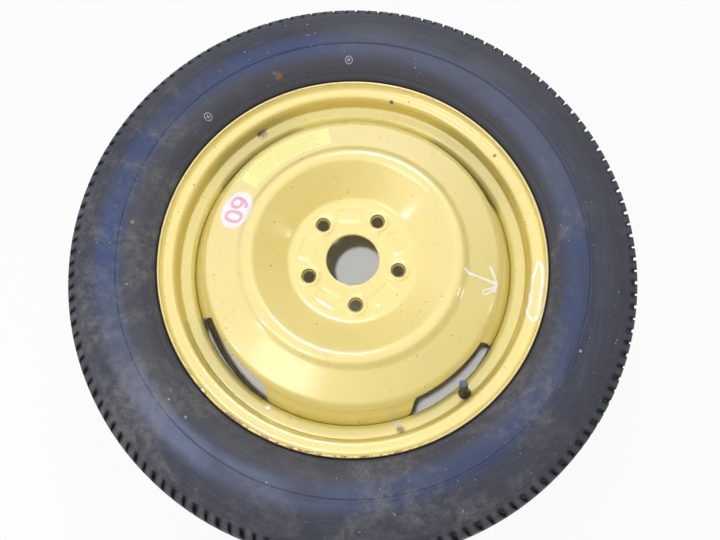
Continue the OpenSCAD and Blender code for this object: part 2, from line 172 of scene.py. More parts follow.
def corner_path(corners, side=0.0, step=4.0):
    """Points along a line through corners (radius, height, rounding), moved side to its left.

    At each inner corner the line turns on an arc: its centre lies at the rounding's distance
    from both straight lines, and its points stand at equal angles around that centre.
    """
    spots = np.array([corner[:2] for corner in corners], float)
    way = np.diff(spots, axis=0)
    way /= np.linalg.norm(way, axis=1, keepdims=True)
    left = np.stack([-way[:, 1], way[:, 0]], axis=1)
    runs = [spots[:1] + side * left[0]]
    for i in range(1, len(corners) - 1):
        ahead, after = way[i - 1], way[i]
        turn = 1.0 if ahead[0] * after[1] > ahead[1] * after[0] else -1.0
        angle = math.acos(np.clip(ahead @ after, -1, 1))
        rounding = corners[i][2]
        centre = spots[i] + (left[i - 1] * turn - ahead * math.tan(angle / 2)) * rounding
        start = math.atan2(-turn * left[i - 1][1], -turn * left[i - 1][0])
        steps = max(1, math.ceil(math.degrees(angle) / step))
        q = start + turn * angle * np.arange(steps + 1) / steps
        runs.append(centre + (rounding - turn * side) * np.stack([np.cos(q), np.sin(q)], axis=1))
    runs.append(spots[-1:] + side * left[-1])
    return np.concatenate(runs)


def run_lengths(line):
    """Length along a line at each of its points."""
    return np.concatenate([[0.0], np.cumsum(np.hypot(*np.diff(line, axis=0).T))])


def mirrored(corners):
    """The same corners under the middle plane, in the order that goes on from the first ones."""
    return [(corner[0], -corner[1], *corner[2:]) for corner in reversed(corners)]


def smooth(value, low, high):
    """0 below low, 1 above high, and the S curve t * t * (3 - 2 * t) between."""
    t = np.clip((value - low) / (high - low), 0, 1)
    return t * t * (3 - 2 * t)


def spans(start, end, gap):
    """Even steps from start to end, each at most gap."""
    return np.linspace(start, end, max(2, math.ceil(abs(end - start) / gap) + 1))


def round_angles(count):
    """Angles at even steps round the circle, in radians."""
    return np.arange(count) * 2 * math.pi / count


def nearest(angles, centres):
    """Degrees from each angle to the nearest of the centres, round the circle."""
    return np.abs((angles[:, None] - centres[None, :] + 180) % 360 - 180).min(axis=1)


def revolved(radius, height, angle):
    """Points at a radius and a height, turned to an angle in radians around Z."""
    radius, height, angle = np.broadcast_arrays(radius, height, angle)
    return np.stack([radius * np.cos(angle), radius * np.sin(angle), height], axis=-1)


def grid_faces(rows, columns, closed_rows=False, closed_columns=True):
    """Faces of a grid as an array (rows, columns, 4) of point numbers, counted row by row."""
    row = np.arange(rows if closed_rows else rows - 1)[:, None]
    column = np.arange(columns if closed_columns else columns - 1)[None, :]
    next_row = (row + 1) % rows
    next_column = (column + 1) % columns
    corners = [row * columns + column, row * columns + next_column,
               next_row * columns + next_column, next_row * columns + column]
    return np.stack(np.broadcast_arrays(*corners), axis=-1)


def block_loop(columns, total, low, high):
    """Point numbers once round a block of grid faces, between two rows and the given columns."""
    step = 1 if high > low else -1
    rows = np.arange(low, high + step, step)
    return np.concatenate([low * total + columns, rows[1:] * total + columns[-1],
                           high * total + columns[-2::-1], rows[-2:0:-1] * total + columns[0]])


def joined(loops):
    """Faces between loops of point numbers that all have as many points."""
    stacked = np.stack(loops)
    after = np.roll(stacked, -1, axis=1)
    quads = np.stack([stacked[:-1], after[:-1], after[1:], stacked[1:]], axis=-1)
    return quads.reshape(-1, 4)


def turned_outwards(points, faces):
    """The faces, all turned round if the volume that they enclose comes out negative."""
    volume = 0.0
    for group in faces:
        first = points[group[:, 0]]
        for k in range(1, group.shape[1] - 1):
            after = np.cross(points[group[:, k]], points[group[:, k + 1]])
            volume += np.einsum("ij,ij->", first, after)
    return faces if volume > 0 else [group[:, ::-1] for group in faces]


def make_piece(name, points, faces, slot, replaces=None, body="wheel", finishes=None, inks=None,
               marks=None, sharp=38.0):
    """A named piece from points in millimetres and groups of faces, riding on a body.

    It takes the finish of its slot, or the named finishes, with inks as one number for each face.
    """
    faces = turned_outwards(points, faces)
    corners = np.concatenate([group.ravel() for group in faces]).astype(np.int32)
    sides = np.concatenate([np.full(len(group), group.shape[1]) for group in faces])
    starts = np.concatenate([[0], np.cumsum(sides)[:-1]]).astype(np.int32)
    mesh = bpy.data.meshes.new(name)
    mesh.vertices.add(len(points))
    mesh.vertices.foreach_set("co", (points * MM).astype(np.float32).ravel())
    mesh.loops.add(len(corners))
    mesh.loops.foreach_set("vertex_index", corners)
    mesh.polygons.add(len(sides))
    mesh.polygons.foreach_set("loop_start", starts)
    mesh.update(calc_edges=True)
    for mark, values in (marks or {}).items():
        attribute = mesh.attributes.new(mark, "FLOAT", "POINT")
        attribute.data.foreach_set("value", np.asarray(values, np.float32))
    for layer in finishes or (slot,):
        mesh.materials.append(finish(layer))
    if inks is not None:
        mesh.polygons.foreach_set("material_index", np.asarray(inks, np.int32))
    mesh.validate()
    mesh.shade_smooth()
    mesh.set_sharp_from_angle(angle=math.radians(sharp))
    piece = bpy.data.objects.new(name, mesh)
    bpy.context.scene.collection.objects.link(piece)
    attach(piece, body)
    if replaces:
        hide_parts(replaces)
    return piece


# Finishes


class Nodes:
    """Short calls for the nodes of one tree, whose patterns follow Object coordinates."""

    def __init__(self, tree):
        self.tree = tree
        self.here = self.node("TexCoord").outputs["Object"]

    def feed(self, node, key, value):
        """A link for a socket, and a plain value for anything else."""
        socket = node.inputs[key]
        if isinstance(value, bpy.types.NodeSocket):
            self.tree.links.new(value, socket)
        elif socket.type == "RGBA" and len(value) == 3:
            socket.default_value = (*value, 1.0)
        else:
            socket.default_value = value

    def node(self, kind, inputs=None, **settings):
        """A new node, with its settings and with values or links for its inputs."""
        made = self.tree.nodes.new("ShaderNode" + kind)
        for key, value in settings.items():
            setattr(made, key, value)
        for key, value in (inputs or {}).items():
            self.feed(made, key, value)
        return made

    def maths(self, operation, *values):
        return self.node("Math", dict(enumerate(values)), operation=operation).outputs[0]

    def times(self, *values):
        """The product of several values."""
        result = values[0]
        for value in values[1:]:
            result = self.maths("MULTIPLY", result, value)
        return result

    def weighed(self, values, weights):
        """The sum of several values, each times its weight."""
        result = self.maths("MULTIPLY", values[-1], weights[-1])
        for value, weight in zip(values[-2::-1], weights[-2::-1]):
            result = self.maths("MULTIPLY_ADD", value, weight, result)
        return result

    def vector(self, operation, *values):
        made = self.node("VectorMath", dict(enumerate(values)), operation=operation)
        return made.outputs["Value" if operation in ("LENGTH", "DISTANCE") else "Vector"]

    def step(self, value, low, high, to_low=0.0, to_high=1.0, curve="SMOOTHSTEP"):
        """A rise of a value between low and high, smooth unless it is told to be linear."""
        made = self.node("MapRange", {
            "Value": value, "From Min": low, "From Max": high, "To Min": to_low, "To Max": to_high},
            interpolation_type=curve)
        return made.outputs["Result"]

    def split(self, vector):
        return list(self.node("SeparateXYZ", {0: vector}).outputs)

    def flat(self):
        """The place seen along the axle, without its height."""
        return self.vector("MULTIPLY", self.here, (1.0, 1.0, 0.0))

    def radius(self):
        """Distance from the axle."""
        return self.vector("LENGTH", self.flat())


class Finish(Nodes):
    """One material: a tone that colours are laid over, a roughness and bumps."""

    def __init__(self, name, colour, **sockets):
        self.material = bpy.data.materials.new("finish_" + name)
        self.material.use_nodes = True
        super().__init__(self.material.node_tree)
        self.shader = self.tree.nodes["Principled BSDF"]
        self.tone = colour
        for key, value in sockets.items():
            self.feed(self.shader, key.replace("_", " "), value)

    def noise(self, scale, detail=2.0, rough=0.5, where=None, warp=0.0):
        """Cloudy noise, whose scale is in waves over a metre."""
        made = self.node("TexNoise", {
            "Vector": where or self.here, "Scale": scale, "Detail": detail, "Roughness": rough,
            "Distortion": warp})
        return made.outputs["Fac"]

    def mark(self, name):
        """The values that a piece keeps at its points under a name."""
        return self.node("Attribute", attribute_name=name).outputs["Fac"]

    def mix(self, share, first, second):
        return self.node("Mix", {0: share, 6: first, 7: second}, data_type="RGBA").outputs[2]

    def lay(self, share, colour):
        """Lays a colour over the tone, as thick as its share."""
        self.tone = self.mix(share, self.tone, colour)

    def around(self, along, across):
        """Coordinates for streaks round the axle: slow along the circle, quick across it."""
        circle = self.vector("SCALE", self.vector("NORMALIZE", self.flat()))
        circle.node.inputs["Scale"].default_value = along
        height = self.split(self.here)[2]
        level = self.times(self.maths("ADD", self.radius(), height), across)
        lift = self.node("CombineXYZ", {2: level}).outputs[0]
        return self.vector("ADD", circle, lift)

    def lay_spots(self, marks):
        """Lays spots over the tone, each a ball round a place, with its edge broken up by noise."""
        for place, size, colour in marks:
            reach = self.vector("DISTANCE", self.here, tuple(c * MM for c in place))
            ragged = self.maths("MULTIPLY_ADD", self.noise(380.0, 3.0), size * MM * 1.4, reach)
            self.lay(self.step(ragged, size * MM * 1.88, size * MM * 1.1), colour)

    def bump(self, height, strength, distance):
        """One more bump on top of those that the shader has."""
        made = self.node("Bump", {"Height": height, "Strength": strength, "Distance": distance})
        normal = self.shader.inputs["Normal"]
        if normal.is_linked:
            self.feed(made, "Normal", normal.links[0].from_socket)
        self.feed(self.shader, "Normal", made.outputs["Normal"])

    def done(self, roughness):
        """The material, with its tone and its roughness in place."""
        self.feed(self.shader, "Base Color", self.tone)
        self.feed(self.shader, "Roughness", roughness)
        return self.material


# Marks on the paint: place in millimetres, half size and colour
PAINT_MARKS = (
    ((-117.5, 177.5, 33.0), 7.5, srgb(126, 110, 80)),
    ((-121.5, 175.0, 33.0), 3.4, srgb(84, 72, 50)),
    ((51.5, 211.4, 50.4), 3.2, srgb(88, 76, 44)),
    ((180.0, 134.0, 53.3), 2.6, srgb(84, 72, 46)),
    ((-101.0, -175.1, 30.0), 3.4, srgb(244, 244, 240)),
    ((49.0, -194.5, 29.1), 5.0, srgb(206, 204, 200)),
    ((54.8, -203.0, 32.3), 5.4, srgb(118, 88, 48)),
    ((-172.7, -158.3, 62.0), 3.0, srgb(230, 224, 206)),
)


def wheel_paint(name, colours):
    """Pale yellow gloss paint: faint clouds, orange peel, specks, chips, rust at the lip and painted shade.
    """
    f = Finish(name, colours.paint, Coat_Weight=0.9, Coat_Roughness=0.09)
    x, y, z = f.split(f.here)
    radius = f.radius()
    cloud = f.noise(14.0, 3.0)
    f.lay(f.step(cloud, 0.35, 0.75, 0.0, 0.35), srgb(242, 221, 140))

    # Painted shade: an ochre shade is painted at the foot of the flange, where the groove turns under it
    groove = f.times(f.step(radius, 0.2120, 0.2142), f.step(radius, 0.2205, 0.2163))
    f.lay(f.times(groove, f.step(z, 0.056, 0.050), 0.55), colours.groove_shade_and_weld_tone)

    # Painted shade: the steep skirts of the disc and the well beside them are painted a darker olive
    f.lay(f.times(f.step(radius, 0.186, 0.196), f.step(z, 0.046, 0.032), 0.5), srgb(192, 184, 104))

    # A thin pale haze of dirt lies in clouds, with dark specks here and there
    f.lay(f.step(f.noise(34.0, 5.0, 0.6), 0.50, 0.78, 0.0, 0.16), srgb(226, 212, 160))
    specks = f.step(f.noise(250.0, 1.0), 0.745, 0.765)
    f.lay(f.times(specks, f.step(f.noise(31.0, 2.0), 0.46, 0.56), 0.8), srgb(120, 98, 52))

    # Rust where the paint is worn off the edge of the lip, at the near left side only
    lip = f.times(f.step(z, (LIP_Z - 2.6) * MM, (LIP_Z - 0.6) * MM), f.step(radius, 0.2305, 0.2325))
    near = f.times(f.step(y, -0.08, -0.19), f.step(x, 0.12, 0.02))
    rust = f.times(lip, near, f.step(f.noise(120.0, 5.0, 0.7), 0.46, 0.54))
    f.lay(f.times(rust, 0.9), srgb(112, 62, 34))

    # Painted shade: a brown line along the outer edge of the lip, in the corner against the tyre
    f.lay(f.step(radius, (RIM_R - 1.6) * MM, (RIM_R - 0.2) * MM, 0.0, 0.7), srgb(120, 92, 44))

    # Wheel nuts have left a dark ring at the rim of each cone seat
    f.lay(f.step(f.mark("nut_ring"), 0.35, 0.8, 0.0, 0.92), srgb(58, 48, 30))
    f.lay_spots(PAINT_MARKS)
    f.bump(f.noise(620.0, 2.0), 0.10, 0.0004)
    f.bump(f.noise(30.0, 2.0), 0.10, 0.0012)
    return f.done(f.maths("ADD", f.step(cloud, 0.3, 0.8, 0.26, 0.40), f.times(rust, 0.4)))


# Marks on the tyre: place in millimetres, half size and colour
TYRE_MARKS = (
    ((-92.5, 235.8, 76.3), 6.0, srgb(122, 94, 74)),
    ((-100.0, 241.0, 77.5), 3.0, srgb(112, 92, 78)),
    ((-262.0, 40.0, 82.0), 3.0, srgb(136, 134, 112)),
    ((-206.0, -170.0, 81.5), 1.3, srgb(190, 192, 200)),
    ((-186.0, -190.0, 81.5), 1.8, srgb(156, 154, 152)),
    ((258.0, -120.0, 81.5), 2.0, srgb(180, 180, 186)),
)


def tyre_rubber(name, colours):
    """Rubber in tone rings, with painted sheen and shade, fine moulded lines, dust, scuffs and specks."""
    f = Finish(name, srgb(74, 75, 84), Specular_IOR_Level=0.15)
    radius = f.radius()
    sides = f.split(f.vector("NORMALIZE", f.flat()))[:2]
    across, up = sides
    patches = f.noise(9.0, 4.0, 0.6, warp=0.6)
    clouds = f.noise(26.0, 5.0, 0.6, warp=0.4)

    # The rubber is greyer next to the rim, with faint brown clouds all over
    f.lay(f.step(radius, 0.262, 0.284), colours.rubber)
    f.lay(f.step(clouds, 0.35, 0.70, 0.0, 0.20), srgb(74, 70, 66))

    # Painted sheen: a blue ring of painted reflection in a wider dark one, nearer to the rim on the right
    # than on the left
    middle = f.maths("MULTIPLY_ADD", across, 0.012, radius)
    ring = f.times(f.step(middle, 0.256, 0.269), f.step(middle, 0.300, 0.283))
    ring = f.times(ring, f.step(patches, 0.32, 0.60, 0.40, 1.0))
    wide = f.times(f.step(middle, 0.262, 0.285), f.step(middle, 0.336, 0.300))
    f.lay(f.times(wide, f.step(clouds, 0.30, 0.62, 0.1, 0.55)), srgb(54, 58, 74))

    # The painted sheen is fainter at the right, the top and the bottom, and paler at the upper right and
    # most of all at the lower left, where the painted highlight is brightest
    lobes = f.maths("ABSOLUTE", f.weighed(sides, (0.62, 0.78)))
    painted_sheen = f.mix(f.step(lobes, 0.55, 1.0), colours.painted_sheen, srgb(99, 107, 132))
    ends = f.step(f.maths("ABSOLUTE", up), 0.70, 1.0, 1.0, 0.75)
    f.lay(f.times(ring, f.times(f.step(across, -0.2, 0.6, 0.88, 0.62), ends)), painted_sheen)
    low_left = f.step(f.weighed(sides, (-0.66, -0.75)), 0.86, 1.0, 0.0, 0.42)
    f.lay(f.times(low_left, f.times(ring, ring)), srgb(122, 130, 156))

    # Thin streaks run round the axle, and one dark line lies along the mould's edge
    streaks = f.noise(1.0, 4.0, 0.6, where=f.around(7.0, 420.0))
    f.lay(f.step(streaks, 0.46, 0.72, 0.0, 0.40), srgb(88, 90, 98))
    line = f.maths("ABSOLUTE", f.maths("SUBTRACT", radius, 0.2790))
    f.lay(f.step(line, 0.0013, 0.0004, 0.0, 0.6), srgb(26, 30, 48))

    # Dry dust, thickest at the lower left, and a paler worn shoulder
    drift = f.maths("ADD", f.noise(7.0, 6.0, 0.65, warp=1.2), f.weighed(sides, (-0.06, -0.09)))
    dusty = f.times(f.step(drift, 0.50, 0.72), f.step(f.noise(90.0, 4.0, 0.7), 0.30, 0.75))
    f.lay(f.times(dusty, 0.55), colours.dust)
    f.lay(f.step(radius, 0.330, 0.342, 0.0, 0.35), srgb(92, 92, 96))

    # Pale specks and short scratches, and painted shade that makes the notches nearly black
    specks = f.step(f.noise(260.0, 1.0), 0.755, 0.78)
    f.lay(f.times(specks, f.step(patches, 0.40, 0.60), 0.7), srgb(190, 190, 194))
    scratches = f.step(f.noise(1.0, 2.0, 0.5, where=f.around(60.0, 900.0)), 0.72, 0.76)
    f.lay(f.times(scratches, 0.25), srgb(140, 142, 150))
    f.lay(f.times(f.mark("notch"), 0.85), srgb(18, 18, 20))

    # Painted shade in the corner between the bead and the lip of the rim
    f.lay(f.step(radius, 0.2388, 0.2372, 0.0, 0.8), srgb(24, 22, 22))
    f.lay_spots(TYRE_MARKS)
    f.bump(f.noise(1.0, 3.0, 0.6, where=f.around(1.5, 800.0)), 0.25, 0.0005)
    f.bump(f.noise(520.0, 3.0, 0.6), 0.18, 0.0005)
    f.bump(f.noise(24.0, 4.0, 0.6), 0.25, 0.003)
    return f.done(f.step(patches, 0.25, 0.75, 0.46, 0.68))


def plain_rubber(name, colour, roughness):
    """Moulded rubber with a fine skin and a few duller patches."""
    f = Finish(name, colour)
    dull = f.step(f.noise(160.0, 3.0), 0.35, 0.7)
    f.lay(f.times(dull, 0.35), srgb(74, 66, 58))
    f.bump(f.noise(900.0, 2.0), 0.2, 0.0003)
    return f.done(f.step(dull, 0.0, 1.0, roughness - 0.15, roughness + 0.15))


def turned_metal(name, colour, roughness):
    """Turned or drawn metal: fine level rings, and light tarnish."""
    f = Finish(name, colour, Metallic=1.0)
    tarnish = f.step(f.noise(260.0, 4.0, 0.6), 0.4, 0.75, 0.0, 0.5)
    f.lay(tarnish, tuple(c * 0.5 for c in colour))
    rings = f.noise(1.0, 1.0, where=f.vector("MULTIPLY", f.here, (200.0, 200.0, 6000.0)))
    f.bump(rings, 0.15, 0.0001)
    return f.done(f.step(tarnish, 0.0, 0.5, roughness, roughness + 0.25))


def cap_plastic(name, colours):
    """Dark blue grey moulded plastic with a soft grain and patches of dust."""
    f = Finish(name, srgb(62, 64, 80))
    dust = f.step(f.noise(300.0, 4.0), 0.5, 0.75, 0.0, 0.35)
    f.lay(dust, srgb(120, 120, 128))
    f.bump(f.noise(1500.0, 2.0), 0.2, 0.0002)
    return f.done(f.step(dust, 0.0, 0.35, 0.40, 0.62))


def weld_paint(name, colours):
    """Thick paint over the beads, darker than the sheet and pitted."""
    f = Finish(name, colours.groove_shade_and_weld_tone, Coat_Weight=0.3)
    pits = f.noise(420.0, 4.0, 0.6)
    f.lay(f.step(pits, 0.5, 0.75, 0.0, 0.6), srgb(150, 112, 60))
    f.bump(pits, 0.4, 0.0008)
    return f.done(f.step(pits, 0.3, 0.7, 0.35, 0.6))


def film(name, colour, stain):
    """Printed plastic film: slightly stained and scuffed, with faint waves from its backing."""
    f = Finish(name, colour, Coat_Weight=0.3, Coat_Roughness=0.15)
    scuff = f.step(f.noise(70.0, 5.0, 0.65), 0.45, 0.75, 0.0, 0.30)
    f.lay(f.times(scuff, 0.6), stain)
    f.bump(f.noise(110.0, 2.0), 0.10, 0.0006)
    return f.done(f.step(scuff, 0.0, 0.3, 0.26, 0.45))


FINISHES = {
    "wheel_paint": wheel_paint,
    "tyre_rubber": tyre_rubber,
    "weld_paint": weld_paint,
    "cap_plastic": cap_plastic,
    "valve_rubber": lambda name, colours: plain_rubber(name, srgb(34, 33, 34), 0.42),
    "seal_rubber": lambda name, colours: plain_rubber(name, srgb(30, 30, 32), 0.7),
    "seal_red": lambda name, colours: plain_rubber(name, srgb(186, 60, 44), 0.6),
    "brass": lambda name, colours: turned_metal(name, srgb(216, 188, 122), 0.3),
    "steel": lambda name, colours: turned_metal(name, srgb(196, 197, 200), 0.25),
    "label_white": lambda name, colours: film(name, colours.label, srgb(232, 216, 196)),
    "label_yellow": lambda name, colours: film(name, colours.arch, srgb(240, 226, 140)),
    "label_ink": lambda name, colours: film(name, colours.ink, srgb(240, 200, 206)),
    "label_line": lambda name, colours: film(name, srgb(206, 196, 206), srgb(220, 214, 216)),
    "arch_line": lambda name, colours: film(name, srgb(228, 214, 104), srgb(236, 226, 132)),
    "pen_white": lambda name, colours: film(name, srgb(250, 248, 240), srgb(240, 228, 180)),
    "stamp_white": lambda name, colours: film(name, srgb(196, 198, 206), srgb(104, 108, 124)),
}


def finish(name):
    """The named finish, made the first time that a piece asks for it."""
    colours = bpy.context.scene.wheel_colours
    return bpy.data.materials.get("finish_" + name) or FINISHES[name](name, colours)


# Pieces of the wheel


class Sheet:
    """A pressed sheet turned round the axle.

    Its face is a line of radius and height, and its back is the same line moved sideways by the
    thickness. A place on the sheet is a length along the face and a depth below it.
    """

    def __init__(self, corners, thickness, side, step=4.0):
        self.face = corner_path(corners, 0.0, step)
        self.back = corner_path(corners, side * thickness, step)
        self.lengths = run_lengths(self.face)
        self.thickness = thickness
        self.growing = int(np.argmax(self.face[:, 0] > self.face[:, 0].max() - 1e-6)) + 1

    def section(self, place, depth):
        """Radius and height at a place on the face and a depth below it."""
        share = depth / self.thickness
        face = [np.interp(place, self.lengths, self.face[:, k]) for k in (0, 1)]
        back = [np.interp(place, self.lengths, self.back[:, k]) for k in (0, 1)]
        return [f + (b - f) * share for f, b in zip(face, back)]

    def place_at(self, radius):
        """Length along a face that grows outwards, where it reaches a radius."""
        return np.interp(radius, self.face[:self.growing, 0], self.lengths[:self.growing])

    def height_at(self, radius):
        return np.interp(radius, self.face[:self.growing, 0], self.face[:self.growing, 1])


def rim_corners(sheet):
    """Inner face of the rim sheet, from the upper lip to the lower lip."""
    face_z = LIP_Z - LIP_H
    upper = [(RIM_R - sheet, LIP_Z), (RIM_R - sheet, face_z, 7.0), (215.8, face_z, 9.0),
             (*GROOVE, 3.0)]
    well = [(WELL_R, WELL_TOP_Z, 8.0), (WELL_R, WELL_LOW_Z, 8.0)]
    return upper + well + mirrored(upper)


def disc_corners():
    """Upper face of the disc sheet, from the hub bore to the lower edge of the skirt."""
    return [(BORE_R, PLATE_Z), (PLATE_R, PLATE_Z, 14.0), (125.0, 84.06, 14.0), (*CREASE, 5.0),
            (*SHOULDER, 16.0), (WELL_R, 22.0, 12.0), (WELL_R, SKIRT_LOW_Z)]


def tyre_outer():
    """Outer face of the tyre, from the upper bead toe to the middle of the tread."""
    side_z = TYRE_HALF_W - 0.6
    return [(216.82, 36.3), (218.06, 50.5, 7.5), (RIM_R + 0.6, 50.5, 9.8),
            (RIM_R + 0.6, LIP_Z - 2.0, 2.0), (257.5, side_z, 35.0), (309.9, side_z, 50.0),
            (340.9, 64.0, 14.0), (TYRE_R, 36.0, 150.0), (TYRE_R, 0.0)]


def tyre_inner():
    """Inner face of the tyre, from the middle of the tread to the upper bead toe."""
    return [(336.9, 0.0), (336.9, 34.0, 100.0), (331.9, 58.0, 14.0), (305.9, 74.4, 40.0),
            (262.5, 74.4, 30.0), (247.5, 60.0, 14.0), (231.3, 36.8, 7.0), (219.3, 36.3)]


def valve_matrix():
    """Turns and moves the upright valve to its place on the rim, in millimetres."""
    turn = Matrix.Rotation(math.radians(VALVE_ANGLE), 4, "Z")
    lean = Matrix.Rotation(math.radians(-VALVE_LEAN), 4, "Y")
    return np.array(turn @ Matrix.Translation((VALVE_R, 0, VALVE_Z)) @ lean)


def at_valve(points):
    """Points of the upright valve, moved to its place on the rim."""
    matrix = valve_matrix()
    return points @ matrix[:3, :3].T + matrix[:3, 3]


def crowded_angles(count, centres, reach, crowd, fixed):
    """Angles round the circle, crowd times closer near the centres, with the fixed ones among them.

    The spacing follows the running total of a density, which is 1 plus a bell round each centre.
    """
    fine = np.linspace(0, 360, 7201)
    total = np.cumsum(1 + (crowd - 1) * np.exp(-((nearest(fine, centres) / reach) ** 4)))
    even = np.interp(np.arange(count) / count * total[-1], total, fine)
    clear = nearest(even, fixed) > 0.08
    return np.radians(np.sort(np.concatenate([even[clear], fixed % 360])))


def tube(points, closed):
    """Faces of rings of points (rings, points round, 3), open ends covered by caps."""
    rings, around = points.shape[:2]
    faces = [grid_faces(rings, around, closed_rows=closed).reshape(-1, 4)]
    if not closed:
        faces.append(np.arange(around)[None, ::-1])
        faces.append((rings - 1) * around + np.arange(around)[None, :])
    return faces


def ribbon(line, width, height_of, above, closed=False):
    """A thin band on a surface along a line in the plan.

    Its points stand across the line at even steps, out to half the width on each side, and each
    takes its height from the surface under it: the top lies above it and the foot a little below.
    """
    line = np.asarray(line, float)
    width = np.broadcast_to(width, len(line))
    if closed:
        ahead = np.roll(line, -1, axis=0) - np.roll(line, 1, axis=0)
    else:
        ahead = np.gradient(line, axis=0)
    ahead /= np.linalg.norm(ahead, axis=1, keepdims=True)
    aside = np.stack([-ahead[:, 1], ahead[:, 0]], axis=1) * width[:, None] / 2
    shares = np.array([1.0, 0.4, -0.4, -1.0, -1.0, -0.4, 0.4, 1.0])
    lifts = np.where(np.arange(8) < 4, above, -RIBBON_FOOT)
    flat = line[:, None, :] + aside[:, None, :] * shares[None, :, None]
    height = height_of(np.hypot(flat[..., 0], flat[..., 1])) + lifts[None, :]
    points = np.concatenate([flat, height[..., None]], axis=-1)
    return points, tube(points, closed)


def curve_through(spots, count=40):
    """A smooth line through a few spots: cubic Hermite pieces whose slopes come from neighbours."""
    spots = np.asarray(spots, float)
    slopes = np.gradient(spots, axis=0)
    place = np.linspace(0, len(spots) - 1, count)
    i = np.minimum(place.astype(int), len(spots) - 2)
    t = (place - i)[:, None]
    a, b, da, db = spots[i], spots[i + 1], slopes[i], slopes[i + 1]
    return ((2 * t ** 3 - 3 * t ** 2 + 1) * a + (t ** 3 - 2 * t ** 2 + t) * da
            + (3 * t ** 2 - 2 * t ** 3) * b + (t ** 3 - t ** 2) * db)


def heights_over(line):
    """The height of a line that goes outwards, as a function of the radius."""
    rising = np.maximum.accumulate(line[:, 0])
    return lambda radius: np.interp(radius, rising, line[:, 1])


def gathered(parts):
    """Several (points, groups of faces) parts as one array of points and one list of groups."""
    points, groups, first = [], [], 0
    for part, faces in parts:
        flat = part.reshape(-1, 3)
        points.append(flat)
        groups.extend(group + first for group in faces)
        first += len(flat)
    return np.concatenate(points), groups


class WHEEL_OT_rim(bpy.types.Operator):
    """Build the rolled rim with its flanges, bead seats, well and valve hole"""

    bl_idname = "wheel.rim"
    bl_label = "Rim"

    columns = 400

    # The block of faces round the valve hole: columns to each side, and the heights that it lies in
    hole_columns = 4
    hole_low = 25.0
    hole_high = 38.0

    def execute(self, context):
        sizes = context.scene.wheel_sizes
        thickness = sizes.rim_sheet / MM
        edge = sizes.cut_edge / MM
        sheet = Sheet(rim_corners(thickness), thickness, 1.0, step=7.0)
        end = sheet.lengths[-1]

        # Rows go down the inner face, over the lower lip, and back up the outer face
        stops = [spans(a, b, 5.0)[1:] for a, b in zip(sheet.lengths[:-1], sheet.lengths[1:])]
        inner = np.concatenate([[edge], *stops])
        inner[-1] = end - edge
        count = len(inner)
        place = np.concatenate([inner, [end, end], inner[::-1], [0.0, 0.0]])
        depth = np.concatenate([np.zeros(count), [edge, thickness - edge],
                                np.full(count, thickness), [thickness - edge, edge]])
        radius, height = sheet.section(place, depth)
        angle = round_angles(self.columns)
        points = revolved(radius[:, None], height[:, None], angle[None, :]).reshape(-1, 3)
        faces = grid_faces(len(place), self.columns, closed_rows=True)

        # Round the valve a block of faces makes way for rings that go through the sheet
        middle = round(VALVE_ANGLE % 360 / 360 * self.columns)
        block = np.arange(middle - self.hole_columns, middle + self.hole_columns + 1) % self.columns
        wall = np.flatnonzero((height[:count] > self.hole_low) & (height[:count] < self.hole_high))
        low, high = wall[0], wall[-1]
        back = 2 * count + 1
        loops = [block_loop(block, self.columns, low, high),
                 block_loop(block, self.columns, back - low, back - high)]
        matrix = valve_matrix()
        local = (points[loops[0]] - matrix[:3, 3]) @ matrix[:3, :3]
        bearing = np.arctan2(local[:, 1], local[:, 0])
        rings = []
        for hole_z in (-0.1, -thickness):
            hole = [VALVE_HOLE_R * np.cos(bearing), VALVE_HOLE_R * np.sin(bearing),
                    np.full(len(bearing), hole_z)]
            rings.append(at_valve(np.column_stack(hole)))
        keep = np.ones(faces.shape[:2], bool)
        keep[low:high, block[:-1]] = False
        keep[back - high:back - low, block[:-1]] = False
        first = len(points) + np.arange(2)[:, None] * len(bearing)
        numbers = first + np.arange(len(bearing))[None, :]
        walls = joined([loops[0], numbers[0], numbers[1], loops[1]])
        make_piece("rim_sheet", np.concatenate([points, *rings]), [faces[keep], walls],
                   "wheel_paint", "rim")
        return {"FINISHED"}


def slot_edge(sheet, half_angle, width):
    """Length along the disc where it ends at an angle from the middle of a vent slot.

    The edge keeps one radius over the slot, rises to the well in a smooth S at each end, and from
    there on the sheet goes down to the foot of the skirt.
    """
    rise = smooth(half_angle, SLOT_INNER_HALF, SLOT_HALF)
    cut = sheet.place_at(WELL_R - width + width * rise)
    fall = np.clip((half_angle - SLOT_HALF) / SLOT_CORNER, 0, 1)
    return cut + (sheet.lengths[-1] - cut) * fall


def pad_dip(radius, angle, depth):
    """Depth of the pressed pads: a block with rounded corners between every two bolt holes.

    The distance to the block's outline turns into a smooth edge.
    """
    turns = (np.degrees(angle) - BOLT_ANGLE) / (360 / BOLT_COUNT)
    away = np.radians((turns - np.floor(turns) - 0.5) * (360 / BOLT_COUNT))
    along = np.abs(radius * np.sin(away)) - (PAD_HALF[0] - PAD_ROUND)
    across = np.abs(radius * np.cos(away) - BOLT_R) - (PAD_HALF[1] - PAD_ROUND)
    corner = np.hypot(np.maximum(along, 0), np.maximum(across, 0))
    outside = corner + np.minimum(np.maximum(along, across), 0) - PAD_ROUND
    return depth * (1 - smooth(outside, -PAD_EDGE, PAD_EDGE))


